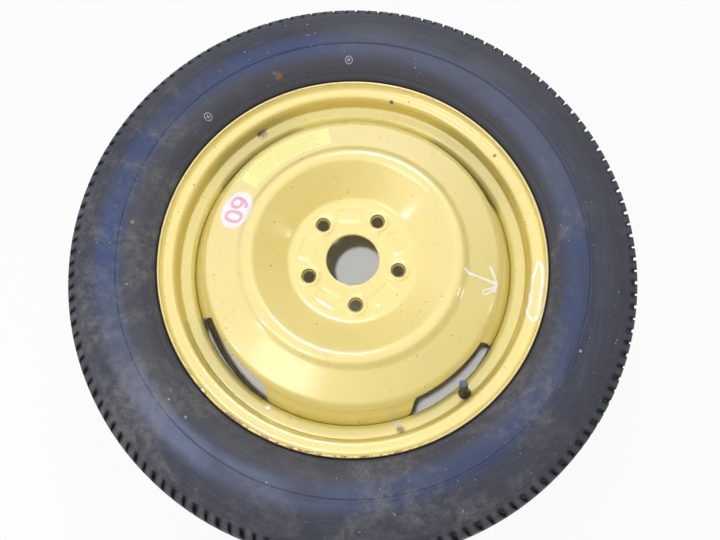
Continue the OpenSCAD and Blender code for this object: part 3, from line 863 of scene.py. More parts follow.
class WHEEL_OT_disc(bpy.types.Operator):
    """Build the pressed disc with its bolt holes, bosses, pads, crown, band and vent slots"""

    bl_idname = "wheel.disc"
    bl_label = "Disc"

    columns = 400

    # The columns crowd at the ends of the slots: over so many degrees, and so many times closer
    crowd_reach = 3.4
    crowd = 3.6

    # The plate is fine rows as far as plate_r, and the rows follow the edge from band_in before SHOULDER
    plate_r = 72.4
    band_in = 6.5

    # Radii round a bolt hole: its block of faces, the boss and its flat top, the cone and the hole
    block_r = 40.3
    block_half = 17.6
    boss_r = 15.0
    boss_top_r = 11.75
    cone_r = 8.8
    cone_depth = 3.29
    hole_r = 7.0

    def column_angles(self, slots):
        """Angles of the columns, which stand closer at the ends of the slots."""
        marks = np.array([SLOT_INNER_HALF, SLOT_HALF, SLOT_HALF + SLOT_CORNER])
        fixed = (slots[:, None] + np.concatenate([marks, -marks])[None, :]).ravel()
        ends = (slots[:, None] + np.array([1, -1])[None, :] * (SLOT_INNER_HALF + SLOT_HALF) / 2).ravel()
        return crowded_angles(self.columns, ends, self.crowd_reach, self.crowd, fixed)

    def sheet_rows(self, shoulder, thickness, edge):
        """Each row's place, its share of the way from the shoulder to the edge, its depth and its gap.

        The rows run over the rounded edge of the bore, the plate, the dish and the band, then over
        the cut edge and back under the sheet, where the dish and the band have half as many.
        """
        plate_end = self.plate_r - BORE_R
        q = np.radians([0.0, 30.0, 60.0, 90.0])
        bore = BORE_ROUND * (1 - np.cos(q))
        plate = spans(BORE_ROUND, plate_end, 1.25)[1:]
        dish = spans(plate_end, shoulder, 2.5)[1:]
        outer = spans(0, 1, 1 / 27)[1:]
        upper_place = np.concatenate([bore, plate, dish, np.full(len(outer), shoulder)])
        count = len(upper_place)
        upper_share = np.concatenate([np.zeros(count - len(outer)), outer])
        upper_depth = np.zeros(count)
        upper_depth[:len(bore)] = BORE_ROUND * (1 - np.sin(q))
        dish_back = np.concatenate([dish[:3], dish[4::2]])
        outer_back = outer[::-2]
        lower_place = np.concatenate([np.full(len(outer_back), shoulder), dish_back[::-1],
                                      plate[::-1], [BORE_ROUND, edge, 0.0]])
        lower_share = np.concatenate([outer_back, np.zeros(len(lower_place) - len(outer_back))])
        lower_depth = np.full(len(lower_place), thickness)
        lower_depth[-1] = thickness - edge
        place = np.concatenate([upper_place, [shoulder, shoulder], lower_place])
        share = np.concatenate([upper_share, [1.0, 1.0], lower_share])
        depth = np.concatenate([upper_depth, [edge, thickness - edge], lower_depth])
        gap = np.zeros(len(place))
        gap[[count - 1, count + 2]] = edge
        return place, share, depth, gap

    def hole_steps(self, rise, thickness, edge):
        """Radius, height over the plate and wear of each ring round a bolt hole, going down."""
        boss = spans(self.boss_r, self.boss_top_r, 0.7)
        lift = rise * smooth(self.boss_r - boss, 0, self.boss_r - self.boss_top_r)
        flank = np.stack([boss, lift, np.zeros(len(boss))], axis=1)
        return np.concatenate([flank, [
            (9.4, rise, 0.0), (9.0, rise, 1.0), (self.cone_r, rise - 0.15, 1.0),
            (self.hole_r, rise - self.cone_depth, 0.0), (self.hole_r, edge - thickness, 0.0),
            (self.hole_r + edge, -thickness, 0.0), (10.0, -thickness, 0.0)]])

    def hole_rings(self, above, under, turn, steps):
        """Rings of points round a bolt hole, between the outlines of its block above and under."""
        centre = BOLT_R * np.array([math.cos(turn), math.sin(turn)])
        from_centre = above[:, :2] - centre
        bearing = from_centre / np.linalg.norm(from_centre, axis=1, keepdims=True)
        rings = [np.column_stack([centre + r * bearing, np.full(len(bearing), PLATE_Z + z)])
                 for r, z in steps[:, :2]]
        return [(above + rings[0]) / 2, *rings, (under + rings[-1]) / 2]

    def execute(self, context):
        sizes = context.scene.wheel_sizes
        thickness = sizes.disc_sheet / MM
        edge = sizes.cut_edge / MM
        sheet = Sheet(disc_corners(), thickness, -1.0)
        shoulder = float(sheet.place_at(SHOULDER[0] - self.band_in))
        slots = SLOT_ANGLE + np.arange(SLOT_COUNT) * 360 / SLOT_COUNT
        angle = self.column_angles(slots)
        total = len(angle)
        end = slot_edge(sheet, nearest(np.degrees(angle), slots), sizes.slot_width / MM)

        place, share, depth, gap = self.sheet_rows(shoulder, thickness, edge)
        where = place[:, None] + share[:, None] * (end[None, :] - shoulder) - gap[:, None]
        radius, height = sheet.section(where, np.broadcast_to(depth[:, None], where.shape))
        dip = pad_dip(radius, angle[None, :], sizes.pad_depth / MM)
        height = height - dip * (radius < self.plate_r + 0.1)
        points = revolved(radius, height, angle[None, :]).reshape(-1, 3)
        faces = grid_faces(len(place), total, closed_rows=True)
        keep = np.ones(faces.shape[:2], bool)

        # Round each bolt hole a block of faces makes way for the boss, its cone and the hole
        low = int(np.argmax(place > self.block_r - BORE_R))
        high = int(np.argmax(place > self.plate_r - BORE_R)) + 1
        back_low, back_high = (int(np.flatnonzero((place == place[row]) & (depth == thickness))[0])
                               for row in (low, high))
        steps = self.hole_steps(sizes.boss_height / MM, thickness, edge)
        patches, groups, worn = [points], [], [np.zeros(len(points))]
        first = len(points)
        for i in range(BOLT_COUNT):
            turn = math.radians(BOLT_ANGLE + i * 360 / BOLT_COUNT)
            away = (angle - turn + math.pi) % (2 * math.pi) - math.pi
            near = np.flatnonzero(np.abs(away) < math.radians(self.block_half))
            block = near[np.argsort(away[near])]
            keep[np.ix_(np.arange(low, high), block[:-1])] = False
            keep[np.ix_(np.arange(back_high, back_low), block[:-1])] = False
            above = block_loop(block, total, low, high)
            under = block_loop(block, total, back_low, back_high)
            rings = self.hole_rings(points[above], points[under], turn, steps)
            size = len(above)
            numbers = first + np.arange(len(rings))[:, None] * size + np.arange(size)[None, :]
            groups.append(joined([above, *numbers, under]))
            patches.extend(rings)
            worn.append(np.repeat([0.0, *steps[:, 2], 0.0], size))
            first += size * len(rings)
        make_piece("disc_sheet", np.concatenate(patches), [faces[keep], np.concatenate(groups)],
                   "wheel_paint", "disc", marks={"nut_ring": np.concatenate(worn)})
        return {"FINISHED"}


class WHEEL_OT_welds(bpy.types.Operator):
    """Build the weld beads under the skirts of the disc"""

    bl_idname = "wheel.welds"
    bl_label = "Welds"

    span = 40.0
    ripple = 2.6

    def execute(self, context):
        leg = context.scene.wheel_sizes.weld_leg / MM
        # The section is a corner of two legs with a swollen face between them; ripples shrink it
        t = np.linspace(0, 1, 9)
        swell = 0.5 * np.sin(math.pi * t)
        face = np.stack([-leg * (1 - t) - 0.2 * swell, -leg * t - 0.2 * swell], axis=1)
        section = np.concatenate([face, [[0.0, 0.0]]])
        length = math.radians(self.span) * WELL_R
        run = np.linspace(0, 1, 300)
        taper = np.sqrt(np.clip(1 - np.abs(2 * run - 1) ** 60, 0.02, 1))
        ripples = 1 - 0.10 * np.abs(np.sin(math.pi * run * length / self.ripple))
        size = (taper * ripples)[:, None]
        parts = []
        for i in range(SLOT_COUNT):
            middle = SLOT_ANGLE + (i + 0.5) * 360 / SLOT_COUNT
            angle = np.radians(middle + self.span * (run - 0.5))[:, None]
            beads = revolved(WELL_R + section[None, :, 0] * size,
                             WELD_LOW_Z + leg + section[None, :, 1] * size, angle)
            parts.append((beads, tube(beads, closed=False)))
        points, faces = gathered(parts)
        make_piece("weld_beads", points, faces, "weld_paint", "disc_welds")
        return {"FINISHED"}


class WHEEL_OT_tyre(bpy.types.Operator):
    """Build the tyre: beads, side walls with raised lines, notched shoulders and grooved tread"""

    bl_idname = "wheel.tyre"
    bl_label = "Tyre"

    pitches = 72

    # The tread band starts at band_r; the notches are full from notch_r on and end at notch_z
    band_r = 328.0
    notch_r = 341.5
    notch_z = 39.0

    # Beyond shoulder_r the line of the tyre comes down all the way to the middle of the tread
    shoulder_r = 300.0

    # Heights of the rows on the shoulder, and of each groove's middle with the rows on the rib inside it
    band_low = 59.0
    shoulder_rows = (54.0, 49.0, 44.0)
    grooves = ((34.0, (28.0, 23.0, 18.0)), (12.0, (6.0, 2.0)))
    groove_half = 2.5
    groove_lip = 0.25

    # Places across one pitch in millimetres: the wide notch, a rib, the narrow notch, a rib
    wide = (-2.2, -1.3, 1.3, 2.2)
    narrow = (13.68, 14.48, 15.88, 16.68)
    ribs = (6.3, 10.3, 20.1, 24.1)

    # Raised lines round the side wall: radius, half width and height
    lines = ((241.0, 0.7, 0.35), (245.5, 0.5, 0.25), (281.0, 1.2, 1.0), (325.5, 0.6, 0.35))

    def tread_rows(self, sizes, line, lengths, down_to):
        """Rows from the edge of the tread band to its middle: place, groove, notch and sipe."""
        groove = sizes.groove_depth / MM
        edge, bed = self.groove_half, self.groove_half - self.groove_lip
        rows = []
        for place in spans(np.interp(self.band_r, line[:, 0], lengths), down_to(self.band_low), 2.6):
            radius = np.interp(place, lengths, line[:, 0])
            rows.append((place, 0.0, float(smooth(radius, self.band_r + 1.0, self.notch_r)), 0.0))
        for height in (*self.shoulder_rows, self.notch_z + 0.6):
            rows.append((down_to(height), 0.0, 1.0, 0.0))
        rows.append((down_to(self.notch_z), 0.0, 0.0, 0.0))

        # The sipes start on the inner side of the outer groove
        for centre, ribs in self.grooves:
            for height, depth in ((centre + edge, 0.0), (centre + bed, groove),
                                  (centre - bed, groove), (centre - edge, 0.0)):
                edge_sipe = 1.0 if depth == 0.0 and height < self.grooves[0][0] else 0.0
                rows.append((down_to(height), depth, 0.0, edge_sipe))
            rows.extend((down_to(height), 0.0, 0.0, 1.0) for height in ribs)
        return np.array(rows)

    def side_rows(self, line, lengths):
        """Rows of the side wall from the toe to the tread band: place and height of raised lines."""
        edge = float(np.interp(self.band_r, line[:, 0], lengths))
        places = [0.0]
        for stop in lengths[(lengths > 0.5) & (lengths < edge - 1.0)]:
            places.extend(spans(places[-1], stop, 6.0)[1:])
        places = np.array(places)
        lifts = np.zeros(len(places))
        for radius, half, height in self.lines:
            marks = np.interp(radius + half * np.array([-1.4, -0.6, 0.6, 1.4]), line[:, 0], lengths)
            clear = (places < marks[0] - 0.6) | (places > marks[-1] + 0.6)
            places = np.concatenate([places[clear], marks])
            lifts = np.concatenate([lifts[clear], [0.0, height * 0.6, height * 0.6, 0.0]])
        order = np.argsort(places)
        return places[order], lifts[order]

    def surface(self, line, lengths, place, offset):
        """Radius and height at a place, moved out of the rubber by an offset."""
        ahead = [np.interp(place + 0.6, lengths, line[:, k]) for k in (0, 1)]
        behind = [np.interp(place - 0.6, lengths, line[:, k]) for k in (0, 1)]
        across, up = ahead[0] - behind[0], ahead[1] - behind[1]
        size = np.hypot(across, up)
        radius = np.interp(place, lengths, line[:, 0]) - up / size * offset
        height = np.interp(place, lengths, line[:, 1]) + across / size * offset
        return radius, height

    def execute(self, context):
        sizes = context.scene.tyre_sizes
        line = corner_path(tyre_outer(), step=9.0)
        lengths = run_lengths(line)
        pitch = 2 * math.pi * TYRE_R / self.pitches
        places = np.array(sorted(self.wide + self.narrow + self.ribs))
        wide = np.isin(places, self.wide[1:3]).astype(float)
        narrow = np.isin(places, self.narrow[1:3]).astype(float)
        turns = np.arange(self.pitches)[:, None]
        angle = ((places[None, :] + turns * pitch) / TYRE_R).ravel()
        wide, narrow = np.tile(wide, self.pitches), np.tile(narrow, self.pitches)

        outside = line[:, 0] > self.shoulder_r
        heights, stops = line[outside][::-1, 1], lengths[outside][::-1]

        def down_to(height):
            """Length along the face where it comes down to a height on its outer side."""
            return float(np.interp(height, heights, stops))

        rows = self.tread_rows(sizes, line, lengths, down_to)
        notch = sizes.notch_depth / MM
        start = down_to(self.notch_z)
        twist = -math.tan(sizes.notch_slant) * np.maximum(start - rows[:, 0], 0) / TYRE_R
        dip = (rows[:, 1:2] + rows[:, 2:3] * notch * (wide + narrow)[None, :]
               + rows[:, 3:4] * sizes.sipe_depth / MM * narrow[None, :])
        radius, height = self.surface(line, lengths, np.broadcast_to(rows[:, 0:1], dip.shape), -dip)
        # Painted shade: the notch mark paints the notches on the shoulders nearly black
        reach = smooth(np.interp(rows[:, 0], lengths, line[:, 0]), self.band_r + 1.0, self.band_r + 4.0)
        reach = np.where(rows[:, 2] > 0, reach, 0)
        notch_shade = reach[:, None] * np.tile(np.isin(places, self.wide + self.narrow), self.pitches)[None, :]
        upper = revolved(radius, height, angle[None, :] + twist[:, None])
        lower = revolved(radius[::-1], -height[::-1], angle[None, :] - twist[::-1, None])
        band = np.concatenate([upper, lower])

        # Every third column of the band goes on down the side walls and round the inside
        side_place, lift = self.side_rows(line, lengths)
        side_r, side_z = self.surface(line, lengths, side_place, lift)
        inner = corner_path(tyre_inner(), step=20.0)
        inside = np.concatenate([inner[::-1] * [1, -1], inner[1:]])
        third = angle[::3]
        above = revolved(side_r[:, None], side_z[:, None], third[None, :] + twist[0])
        under = revolved(side_r[::-1, None], -side_z[::-1, None], third[None, :] - twist[0])
        drift = np.linspace(-twist[0], twist[0], len(inside))
        cavity = revolved(inside[:, :1], inside[:, 1:], third[None, :] + drift[:, None])

        parts = [above, band, under, cavity]
        first = np.concatenate([[0], np.cumsum([part.shape[0] * part.shape[1] for part in parts])])
        groups = [grid_faces(*part.shape[:2]).reshape(-1, 4) + at for part, at in zip(parts, first)]
        few, many = len(third), len(angle)
        one = np.arange(few)
        fine = [(one * 3 + k) % many for k in range(4)]
        last_above = first[0] + (len(above) - 1) * few
        last_band = first[1] + (len(band) - 1) * many
        last_under = first[2] + (len(under) - 1) * few
        last_cavity = first[3] + (len(cavity) - 1) * few
        after = (one + 1) % few
        from_above = [last_above + one, last_above + after, *(first[1] + f for f in fine[::-1])]
        to_under = [*(last_band + f for f in fine), first[2] + after, first[2] + one]
        groups.append(np.stack(from_above, axis=1))
        groups.append(np.stack(to_under, axis=1))
        groups.append(joined([last_under + one, first[3] + one]))
        groups.append(joined([last_cavity + one, first[0] + one]))
        points = np.concatenate([part.reshape(-1, 3) for part in parts])
        notches = [np.zeros(above.shape[0] * few), notch_shade.ravel(), notch_shade[::-1].ravel(),
                   np.zeros((len(under) + len(cavity)) * few)]
        make_piece("tyre_dressed", points, groups, "tyre_rubber", "tyre",
                   marks={"notch": np.concatenate(notches)}, sharp=34.0)
        return {"FINISHED"}


def lathe(section, columns, swell=None):
    """A closed section of (radius, height) turned round Z; swell adds to the radius by row and angle."""
    section = np.asarray(section, float)
    angle = round_angles(columns)
    radius = np.broadcast_to(section[:, :1], (len(section), columns))
    if swell is not None:
        radius = radius + swell(section[:, :1], section[:, 1:], angle[None, :])
    points = revolved(radius, section[:, 1:], angle[None, :])
    faces = grid_faces(len(section), columns, closed_rows=True).reshape(-1, 4)
    return at_valve(points.reshape(-1, 3)), [faces]


def filled(section, gap):
    """A closed line of corners with points added so that none is further than gap from the next."""
    section = np.asarray(section, float)
    after = np.roll(section, -1, axis=0)
    runs = []
    for a, b in zip(section, after):
        count = max(1, math.ceil(np.hypot(*(b - a)) / gap))
        runs.append(a + (b - a) * np.arange(count)[:, None] / count)
    return np.concatenate(runs)


class WHEEL_OT_valve(bpy.types.Operator):
    """Build the rubber body, the threaded stem and the ribbed cap of the valve"""

    bl_idname = "wheel.valve"
    bl_label = "Valve"

    # The thread on the stem, the heights that it lies between, and the length of the stem's faces
    thread_pitch = 0.8
    thread_depth = 0.28
    thread_r = 3.8
    thread_low = 21.4
    thread_high = 32.2
    fine_gap = 0.13
    quick_gap = 0.4

    # The ribs of the cap come up between two radii and fade out between two heights
    ribs = 16
    rib_depth = 0.55
    rib_r = (4.3, 4.9)
    rib_z = (34.0, 34.8)

    def execute(self, context):
        body = [(2.95, -12.0), (4.45, -13.0), (5.2, -11.5), (7.0, -8.0), (7.6, -6.5), (7.75, -3.6),
                (7.3, -2.6), (5.75, -2.5), (5.75, -0.6), (7.0, -0.6), (7.55, 0.2), (7.6, 1.2),
                (7.35, 2.2), (6.7, 3.4), (6.0, 5.2), (5.5, 7.2), (4.9, 9.4), (4.6, 11.0),
                (4.6, 20.2), (4.4, 20.8), (3.9, 21.0), (2.95, 21.0)]
        points, faces = lathe(filled(body, 1.2), 64)
        make_piece("valve_rubber_body", points, faces, "valve_rubber", "valve_body")

        def thread(radius, height, angle):
            """The thread falls with the height and the angle, in a wave as high as it is deep."""
            turns = height / self.thread_pitch - angle / (2 * math.pi)
            wave = np.abs((turns - np.floor(turns)) * 2 - 1)
            on_thread = (radius > self.thread_r) & (height > self.thread_low) & (height < self.thread_high)
            return -self.thread_depth * wave * on_thread

        stem = [(1.8, -13.5), (2.95, -13.5), (2.95, 21.0), (3.85, 21.0), (3.85, 32.4), (3.25, 33.0),
                (2.65, 33.0), (2.65, 10.0), (1.8, 10.0)]
        points, faces = lathe(filled(stem, self.fine_gap), 40, thread)
        make_piece("valve_stem_brass", points, faces, "brass", "valve_stem")

        def grip(radius, height, angle):
            """Round ribs down the side of the cap, which end in a plain collar at its top."""
            rib = np.abs(np.cos(self.ribs / 2 * angle)) ** 0.6
            fade = smooth(-height, -self.rib_z[1], -self.rib_z[0])
            return -self.rib_depth * (1 - rib) * smooth(radius, *self.rib_r) * fade

        cap = [(4.15, 23.0), (4.8, 23.0), (5.0, 23.3), (5.0, 34.4), (4.85, 35.2), (4.3, 35.8),
               (3.4, 36.0), (0.02, 36.0), (0.02, 34.2), (4.15, 34.2)]
        points, faces = lathe(filled(cap, 0.9), 128, grip)
        make_piece("valve_cap_ribbed", points, faces, "cap_plastic", "valve_cap", body="cap")
        return {"FINISHED"}


class WHEEL_OT_core(bpy.types.Operator):
    """Wind the core spring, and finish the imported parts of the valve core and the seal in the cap"""

    bl_idname = "wheel.core"
    bl_label = "Valve Core"

    finishes = {
        "core_plug": "brass", "core_barrel": "brass", "core_barrel_seal": "seal_red",
        "core_pin": "steel", "core_cup": "brass", "core_cup_seal": "seal_rubber",
        "cap_seal": "seal_rubber",
    }

    # The spring stands on the floor of the barrel and reaches up to the collar of the pin
    wire = 0.3
    turns = 6
    spring_r = 1.05
    spring_low = 18.52
    spring_high = 24.28

    def spring(self):
        """A round wire carried up a helix, whose middle turns evenly with its height."""
        turn = np.linspace(0, self.turns, self.turns * 24 + 1)[:, None]
        across = round_angles(8)
        rise = self.spring_high - self.spring_low - self.wire
        radius = self.spring_r + self.wire / 2 * np.cos(across)
        height = self.spring_low + self.wire / 2 * (1 + np.sin(across)) + rise * turn / self.turns
        points = revolved(radius, height, turn * 2 * math.pi)
        return at_valve(points.reshape(-1, 3)), tube(points, closed=False)

    def execute(self, context):
        for node, name in self.finishes.items():
            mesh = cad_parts[node].data
            mesh.materials.clear()
            mesh.materials.append(finish(name))
        points, faces = self.spring()
        spring = make_piece("core_spring_wound", points, faces, "steel", "core_spring")

        # The joint takes its travel off the length of the spring
        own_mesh(spring)
        return {"FINISHED"}


class WHEEL_OT_labels(bpy.types.Operator):
    """Build the oval label with its number and the arched label"""

    bl_idname = "wheel.labels"
    bl_label = "Labels"

    # The oval label: the angle and radius of its middle, its half sizes, and the slope under it
    oval_angle = 157.6
    oval_r = CREASE[0] + 12.8
    oval_half = (20.5, 25.0)
    oval_slope = 20.6
    tail = ((3.6, -15.2), (-1.5, -14.6), (-6.6, -12.4), (-9.8, -9.2), (-10.8, -5.2))

    # Inner and outer radius of the arched label, and the angles of its two ends
    arch = (145.0, 171.0, 100.0, 144.0)
    arch_lines = 7
    line_in = 3.5
    line_gap = 3.1

    # Heights of the films' top and foot over the sheet, and of the ink over the film
    film = 0.14
    foot = 0.01
    ink = 0.01

    def oval_place(self, across, along):
        """Plan position on the oval label: across the label's radius and along its length."""
        turn = math.radians(self.oval_angle)
        out = self.oval_r + across * math.cos(math.radians(self.oval_slope))
        return np.stack([out * math.cos(turn) - along * math.sin(turn),
                         out * math.sin(turn) + along * math.cos(turn)], axis=-1)

    def loop(self, centre, half, corner=2.0):
        """A closed curve |x/a| ** corner + |y/b| ** corner = 1 round a centre on the label."""
        t = round_angles(72)
        c, s = np.cos(t), np.sin(t)
        across = centre[0] + half[0] * np.sign(c) * np.abs(c) ** (2 / corner)
        along = centre[1] + half[1] * np.sign(s) * np.abs(s) ** (2 / corner)
        return self.oval_place(across, along)

    def label(self, name, parts, finishes, replaces):
        """One piece from parts of (number of the finish, points, groups of faces)."""
        points, faces = gathered([part[1:] for part in parts])
        inks = np.concatenate([np.full(sum(len(group) for group in part[2]), part[0])
                               for part in parts])
        make_piece(name, points, faces, finishes[0], replaces, finishes=finishes, inks=inks)

    def oval(self, sheet):
        """The oval film, a fine line inside its edge, and a number with its head to the axle."""
        def skin(points, above):
            return np.column_stack([points, sheet.height_at(np.hypot(*points.T)) + above])

        # The film is rings from its middle to its outline, a top and a foot
        t = round_angles(96)
        rings = [self.oval_place(self.oval_half[0] * s * np.cos(t), self.oval_half[1] * s * np.sin(t))
                 for s in np.linspace(0.02, 1, 16)]
        film = np.stack([skin(ring, self.film) for ring in rings]
                        + [skin(ring, self.foot) for ring in rings[::-1]])
        edge = self.loop((0, 0), (19.0, 23.4))
        parts = [(0, film, tube(film, closed=False)),
                 (1, *ribbon(edge, 0.35, sheet.height_at, self.film + self.ink, True))]

        # The number is a six of a bowl and a tail, and a nought
        bowl = self.loop((3.9, -9.0), (6.7, 6.2), 2.3)
        nought = self.loop((0.0, 9.2), (10.6, 6.2), 2.6)
        stroke = curve_through(self.tail)
        tail = self.oval_place(stroke[:, 0], stroke[:, 1])
        for line, closed in ((bowl, True), (nought, True), (tail, False)):
            parts.append((2, *ribbon(line, 4.2, sheet.height_at, self.film + 2 * self.ink, closed)))
        self.label("oval_label_film", parts, ("label_white", "label_line", "label_ink"), "oval_label")

    def arched(self, sheet):
        """The arched film, with plain lines where a label would have its text."""
        inner, outer, start, stop = self.arch
        turn = np.radians(np.linspace(start, stop, 90))
        edge = np.linspace(inner, outer, 12)
        radii = np.concatenate([edge, edge[::-1]])
        lift = np.repeat([self.film, self.foot], len(edge))
        strip = revolved(radii[None, :], sheet.height_at(radii)[None, :] + lift[None, :], turn[:, None])
        parts = [(0, strip, tube(strip, closed=False))]
        for k in range(self.arch_lines):
            run = np.radians(np.linspace(start + 5 + k % 3, stop - 4 - k % 2, 60))
            radius = inner + self.line_in + k * self.line_gap
            line = radius * np.stack([np.cos(run), np.sin(run)], axis=1)
            parts.append((1, *ribbon(line, 0.8, sheet.height_at, self.film + self.ink)))
        self.label("arched_label_film", parts, ("label_yellow", "arch_line"), "arched_label")

    def execute(self, context):
        sheet = Sheet(disc_corners(), context.scene.wheel_sizes.disc_sheet / MM, -1.0)
        self.oval(sheet)
        self.arched(sheet)
        return {"FINISHED"}


class WHEEL_OT_marks(bpy.types.Operator):
    """Draw the white pen marks on the wheel and the two round ink stamps on the tyre"""

    bl_idname = "wheel.marks"
    bl_label = "Pen Marks and Stamps"

    # Plan positions of the strokes in millimetres, from the axle, and their widths
    strokes = (
        (((131, -20), (137, -25), (143, -27), (153, -30), (163, -33), (171, -35.5)), 2.8),
        (((164, -15), (167, -22), (170, -30), (171, -37), (168, -46)), 3.0),
        (((173, -35), (165, -41), (155, -44), (154, -49), (160, -47.5), (168, -42)), 1.8),
    )

    # The loop on the flange, the middles of the two stamps, and the radius of a stamp
    ring = ((226.5, -7), (229, -14), (228, -30), (224, -52), (221, -67), (217.5, -76), (213, -78),
            (209, -73), (208, -66), (212, -56), (214, -41), (217, -28), (221, -17), (224, -8))
    stamps = ((-179.4, 179.5), (-3.1, 256.9))
    stamp_r = 4.4

    # The flange is the face of the rim above flange_low, and the side wall ends before wall_r
    flange_low = 25.0
    wall_r = 345.0

    def pen(self, sizes):
        """The arrow on the disc and the loop on the flange, in strokes of uneven width."""
        disc = Sheet(disc_corners(), sizes.disc_sheet / MM, -1.0)
        parts = []
        for stroke, width in self.strokes:
            line = curve_through(stroke)
            width = width * (1 + 0.2 * np.sin(np.linspace(0, 9, len(line))))
            parts.append(ribbon(line, width, disc.height_at, 0.05))
        thickness = sizes.rim_sheet / MM
        face = Sheet(rim_corners(thickness), thickness, 1.0).face
        flange = heights_over(face[face[:, 1] > self.flange_low][::-1])
        loop = curve_through((*self.ring, self.ring[0]), 90)[:-1]
        width = 3.4 + 0.6 * np.sin(np.linspace(0, 19, len(loop)))
        parts.append(ribbon(loop, width, flange, 0.05, True))
        make_piece("pen_arrow", *gathered(parts), "label_white", finishes=("pen_white",))

    def stamps_on_tyre(self):
        """Two small circles with a cross in each, on the side wall."""
        side = corner_path(tyre_outer())
        start = np.argmax(side[:, 0] > RIM_R + 0.55)
        wall = heights_over(side[start:np.argmax(side[:, 0] > self.wall_r)])
        parts = []
        t = round_angles(40)
        for x, y in self.stamps:
            circle = np.stack([x + self.stamp_r * np.cos(t), y + self.stamp_r * np.sin(t)], axis=1)
            parts.append(ribbon(circle, 0.6, wall, 0.06, True))
            for dx, dy in ((2.6, 1.4), (-1.4, 2.6)):
                bar = np.linspace((x - dx, y - dy), (x + dx, y + dy), 12)
                parts.append(ribbon(bar, 0.6, wall, 0.06))
        make_piece("ink_stamps", *gathered(parts), "label_white", finishes=("stamp_white",))

    def execute(self, context):
        self.pen(context.scene.wheel_sizes)
        self.stamps_on_tyre()
        return {"FINISHED"}


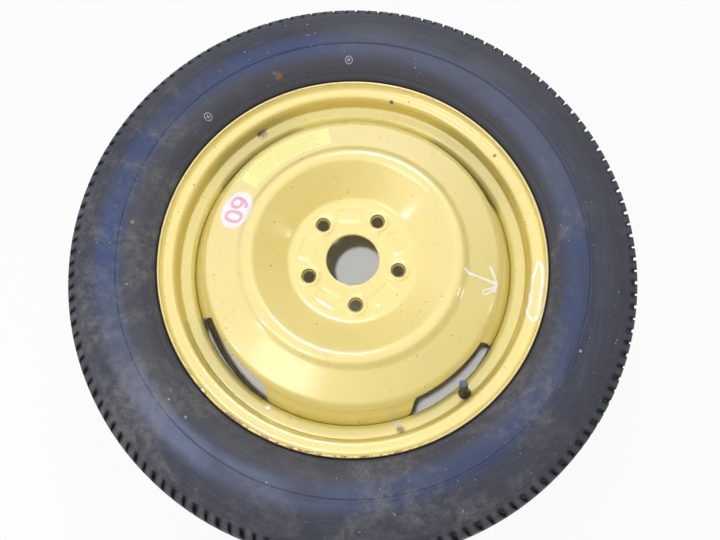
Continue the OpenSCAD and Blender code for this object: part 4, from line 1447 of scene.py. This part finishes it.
class WHEEL_OT_stage(bpy.types.Operator):
    """Set up the pale floor, the soft studio light and the camera over the wheel"""

    bl_idname = "wheel.stage"
    bl_label = "Stage"

    # Half the width of the floor, the radii between which it turns from lit to white, and how white
    floor_half = 6.0
    floor_ring = (0.26, 0.30)
    floor_white = 0.86

    # The camera looks steeply down on the wheel from the near side, as the photograph does
    camera_place = (0.0088, -0.2513, 0.9114)
    camera_tilt = 15.43
    camera_roll = -0.47
    lens = 36.78

    # Strength of the sky to the camera, on matt surfaces, and in the gloss: low, high, in the glow
    sky_seen = 0.98
    sky_matt = 0.35
    sky_low = 0.12
    sky_gloss = 2.4
    sky_window = 4.5

    # Lamps: direction, distance, size and power, and whether they show in gloss and on matt surfaces
    lamps = {
        "key": ((-0.07, -0.16, 0.985), 1.7, (0.07, 0.07), 13.5, False, True),
        "left": ((-0.75, -0.34, 0.57), 1.6, (0.12, 0.12), 1.5, True, True),
        "right": ((0.86, -0.08, 0.51), 1.6, (0.14, 0.14), 0.8, True, True),
        "back": ((0.05, 0.65, 0.74), 1.7, (0.55, 0.26), 4.0, True, True),
        "back_shine": ((0.20, 0.66, 0.72), 1.7, (0.60, 0.12), 12.0, True, False),
    }

    def lamp(self, name, towards, distance, size, power, in_gloss, on_matt):
        """An area light in a direction from the wheel, facing its middle."""
        data = bpy.data.lights.new(name, "AREA")
        data.shape = "RECTANGLE"
        data.size, data.size_y = size
        data.energy = power
        lamp = bpy.data.objects.new(name, data)
        lamp.visible_glossy = in_gloss
        lamp.visible_diffuse = on_matt
        way = Vector(towards).normalized()
        lamp.location = way * distance
        lamp.rotation_mode = "QUATERNION"
        lamp.rotation_quaternion = way.to_track_quat("Z", "Y")
        bpy.context.scene.collection.objects.link(lamp)

    def floor_finish(self):
        """White that shows as written to the camera, and keeps part of the shadow under the tyre."""
        material = bpy.data.materials.new("pale_floor")
        material.use_nodes = True
        material.node_tree.nodes.clear()
        floor = Nodes(material.node_tree)
        lit = floor.node("BsdfDiffuse", {"Color": (0.95, 0.97, 1.0)}).outputs[0]
        plain = floor.node("Emission", {"Color": (1.0, 1.0, 1.0)}).outputs[0]

        # Inside the tyre the floor shows only the light that falls through the wheel
        outside = floor.step(floor.radius(), *self.floor_ring, 0.0, self.floor_white, curve="LINEAR")
        rays = floor.node("LightPath").outputs
        seen = floor.maths("MAXIMUM", rays["Is Camera Ray"], rays["Is Glossy Ray"])
        seen = floor.maths("MAXIMUM", seen, rays["Is Transmission Ray"])
        mixed = floor.node("MixShader", {0: floor.times(seen, outside), 1: lit, 2: plain})
        floor.node("OutputMaterial", {"Surface": mixed.outputs[0]})
        return material

    def sky_light(self, world):
        """Plain pale light: even for matt surfaces, and in the gloss brighter at the back and left.

        The gloss also shows one soft round glow, high in front on the left, like a small window.
        """
        world.use_nodes = True
        sky = Nodes(world.node_tree)
        way = sky.split(sky.here)
        side = sky.step(sky.weighed(way, (-0.35, 0.45, 0.9)), 0.10, 0.75)
        glow = sky.times(side, sky.step(way[2], 0.10, 0.35))
        window = sky.step(sky.weighed(way, (-0.42, -0.40, 0.81)), 0.952, 0.994)
        low = sky.maths("ADD", sky.times(window, self.sky_window), self.sky_low)
        gloss = sky.maths("MULTIPLY_ADD", glow, self.sky_gloss, low)
        rays = sky.node("LightPath").outputs
        matt = sky.maths("MULTIPLY_ADD", rays["Is Camera Ray"], self.sky_seen - self.sky_matt,
                         self.sky_matt)
        shift = sky.times(rays["Is Glossy Ray"], sky.maths("SUBTRACT", gloss, matt))
        back = world.node_tree.nodes["Background"]
        sky.feed(back, "Color", (0.96, 0.97, 1.0))
        sky.feed(back, "Strength", sky.maths("ADD", matt, shift))

    def execute(self, context):
        scene = context.scene
        scene.view_settings.view_transform = "Standard"
        half = self.floor_half
        mesh = bpy.data.meshes.new("pale_floor")
        corners = [(x, y, FLOOR_Z) for x, y in ((-half, -half), (half, -half), (half, half), (-half, half))]
        mesh.from_pydata(corners, [], [(0, 1, 2, 3)])
        mesh.materials.append(self.floor_finish())
        floor = bpy.data.objects.new("pale_floor", mesh)
        scene.collection.objects.link(floor)

        scene.world = bpy.data.worlds.new("studio")
        self.sky_light(scene.world)
        for name, settings in self.lamps.items():
            self.lamp(name, *settings)

        data = bpy.data.cameras.new("camera")
        data.lens = self.lens
        data.sensor_width = 36.0
        data.clip_start = 0.01
        camera = bpy.data.objects.new("camera", data)
        scene.collection.objects.link(camera)
        tilt = Matrix.Rotation(math.radians(self.camera_tilt), 4, "X")
        roll = Matrix.Rotation(math.radians(self.camera_roll), 4, "Z")
        camera.matrix_world = Matrix.Translation(self.camera_place) @ tilt @ roll
        scene.camera = camera
        return {"FINISHED"}


OPERATORS = (WHEEL_OT_stage, WHEEL_OT_tyre, WHEEL_OT_rim, WHEEL_OT_disc, WHEEL_OT_welds,
             WHEEL_OT_valve, WHEEL_OT_core, WHEEL_OT_labels, WHEEL_OT_marks)


class WHEEL_PT_panel(bpy.types.Panel):
    """Buttons that build the wheel piece by piece"""

    bl_idname = "WHEEL_PT_panel"
    bl_label = "Spare Wheel"
    bl_space_type = "VIEW_3D"
    bl_region_type = "UI"
    bl_category = "Spare Wheel"

    def draw(self, context):
        for operator in OPERATORS:
            self.layout.operator(operator.bl_idname)
        for group in (context.scene.wheel_sizes, context.scene.tyre_sizes, context.scene.wheel_colours):
            box = self.layout.box()
            for name in group.__annotations__:
                box.prop(group, name)


CLASSES = (WheelSizes, TyreSizes, WheelColours, *OPERATORS, WHEEL_PT_panel)


def register():
    for cls in CLASSES:
        bpy.utils.register_class(cls)
    bpy.types.Scene.wheel_sizes = PointerProperty(type=WheelSizes)
    bpy.types.Scene.tyre_sizes = PointerProperty(type=TyreSizes)
    bpy.types.Scene.wheel_colours = PointerProperty(type=WheelColours)


def unregister():
    del bpy.types.Scene.wheel_colours
    del bpy.types.Scene.tyre_sizes
    del bpy.types.Scene.wheel_sizes
    for cls in reversed(CLASSES):
        bpy.utils.unregister_class(cls)


def main():
    register()
    bpy.ops.wheel.stage()
    bpy.ops.wheel.tyre()
    bpy.ops.wheel.rim()
    bpy.ops.wheel.disc()
    bpy.ops.wheel.welds()
    bpy.ops.wheel.valve()
    bpy.ops.wheel.core()
    bpy.ops.wheel.labels()
    bpy.ops.wheel.marks()


if __name__ == "__main__":
    main()
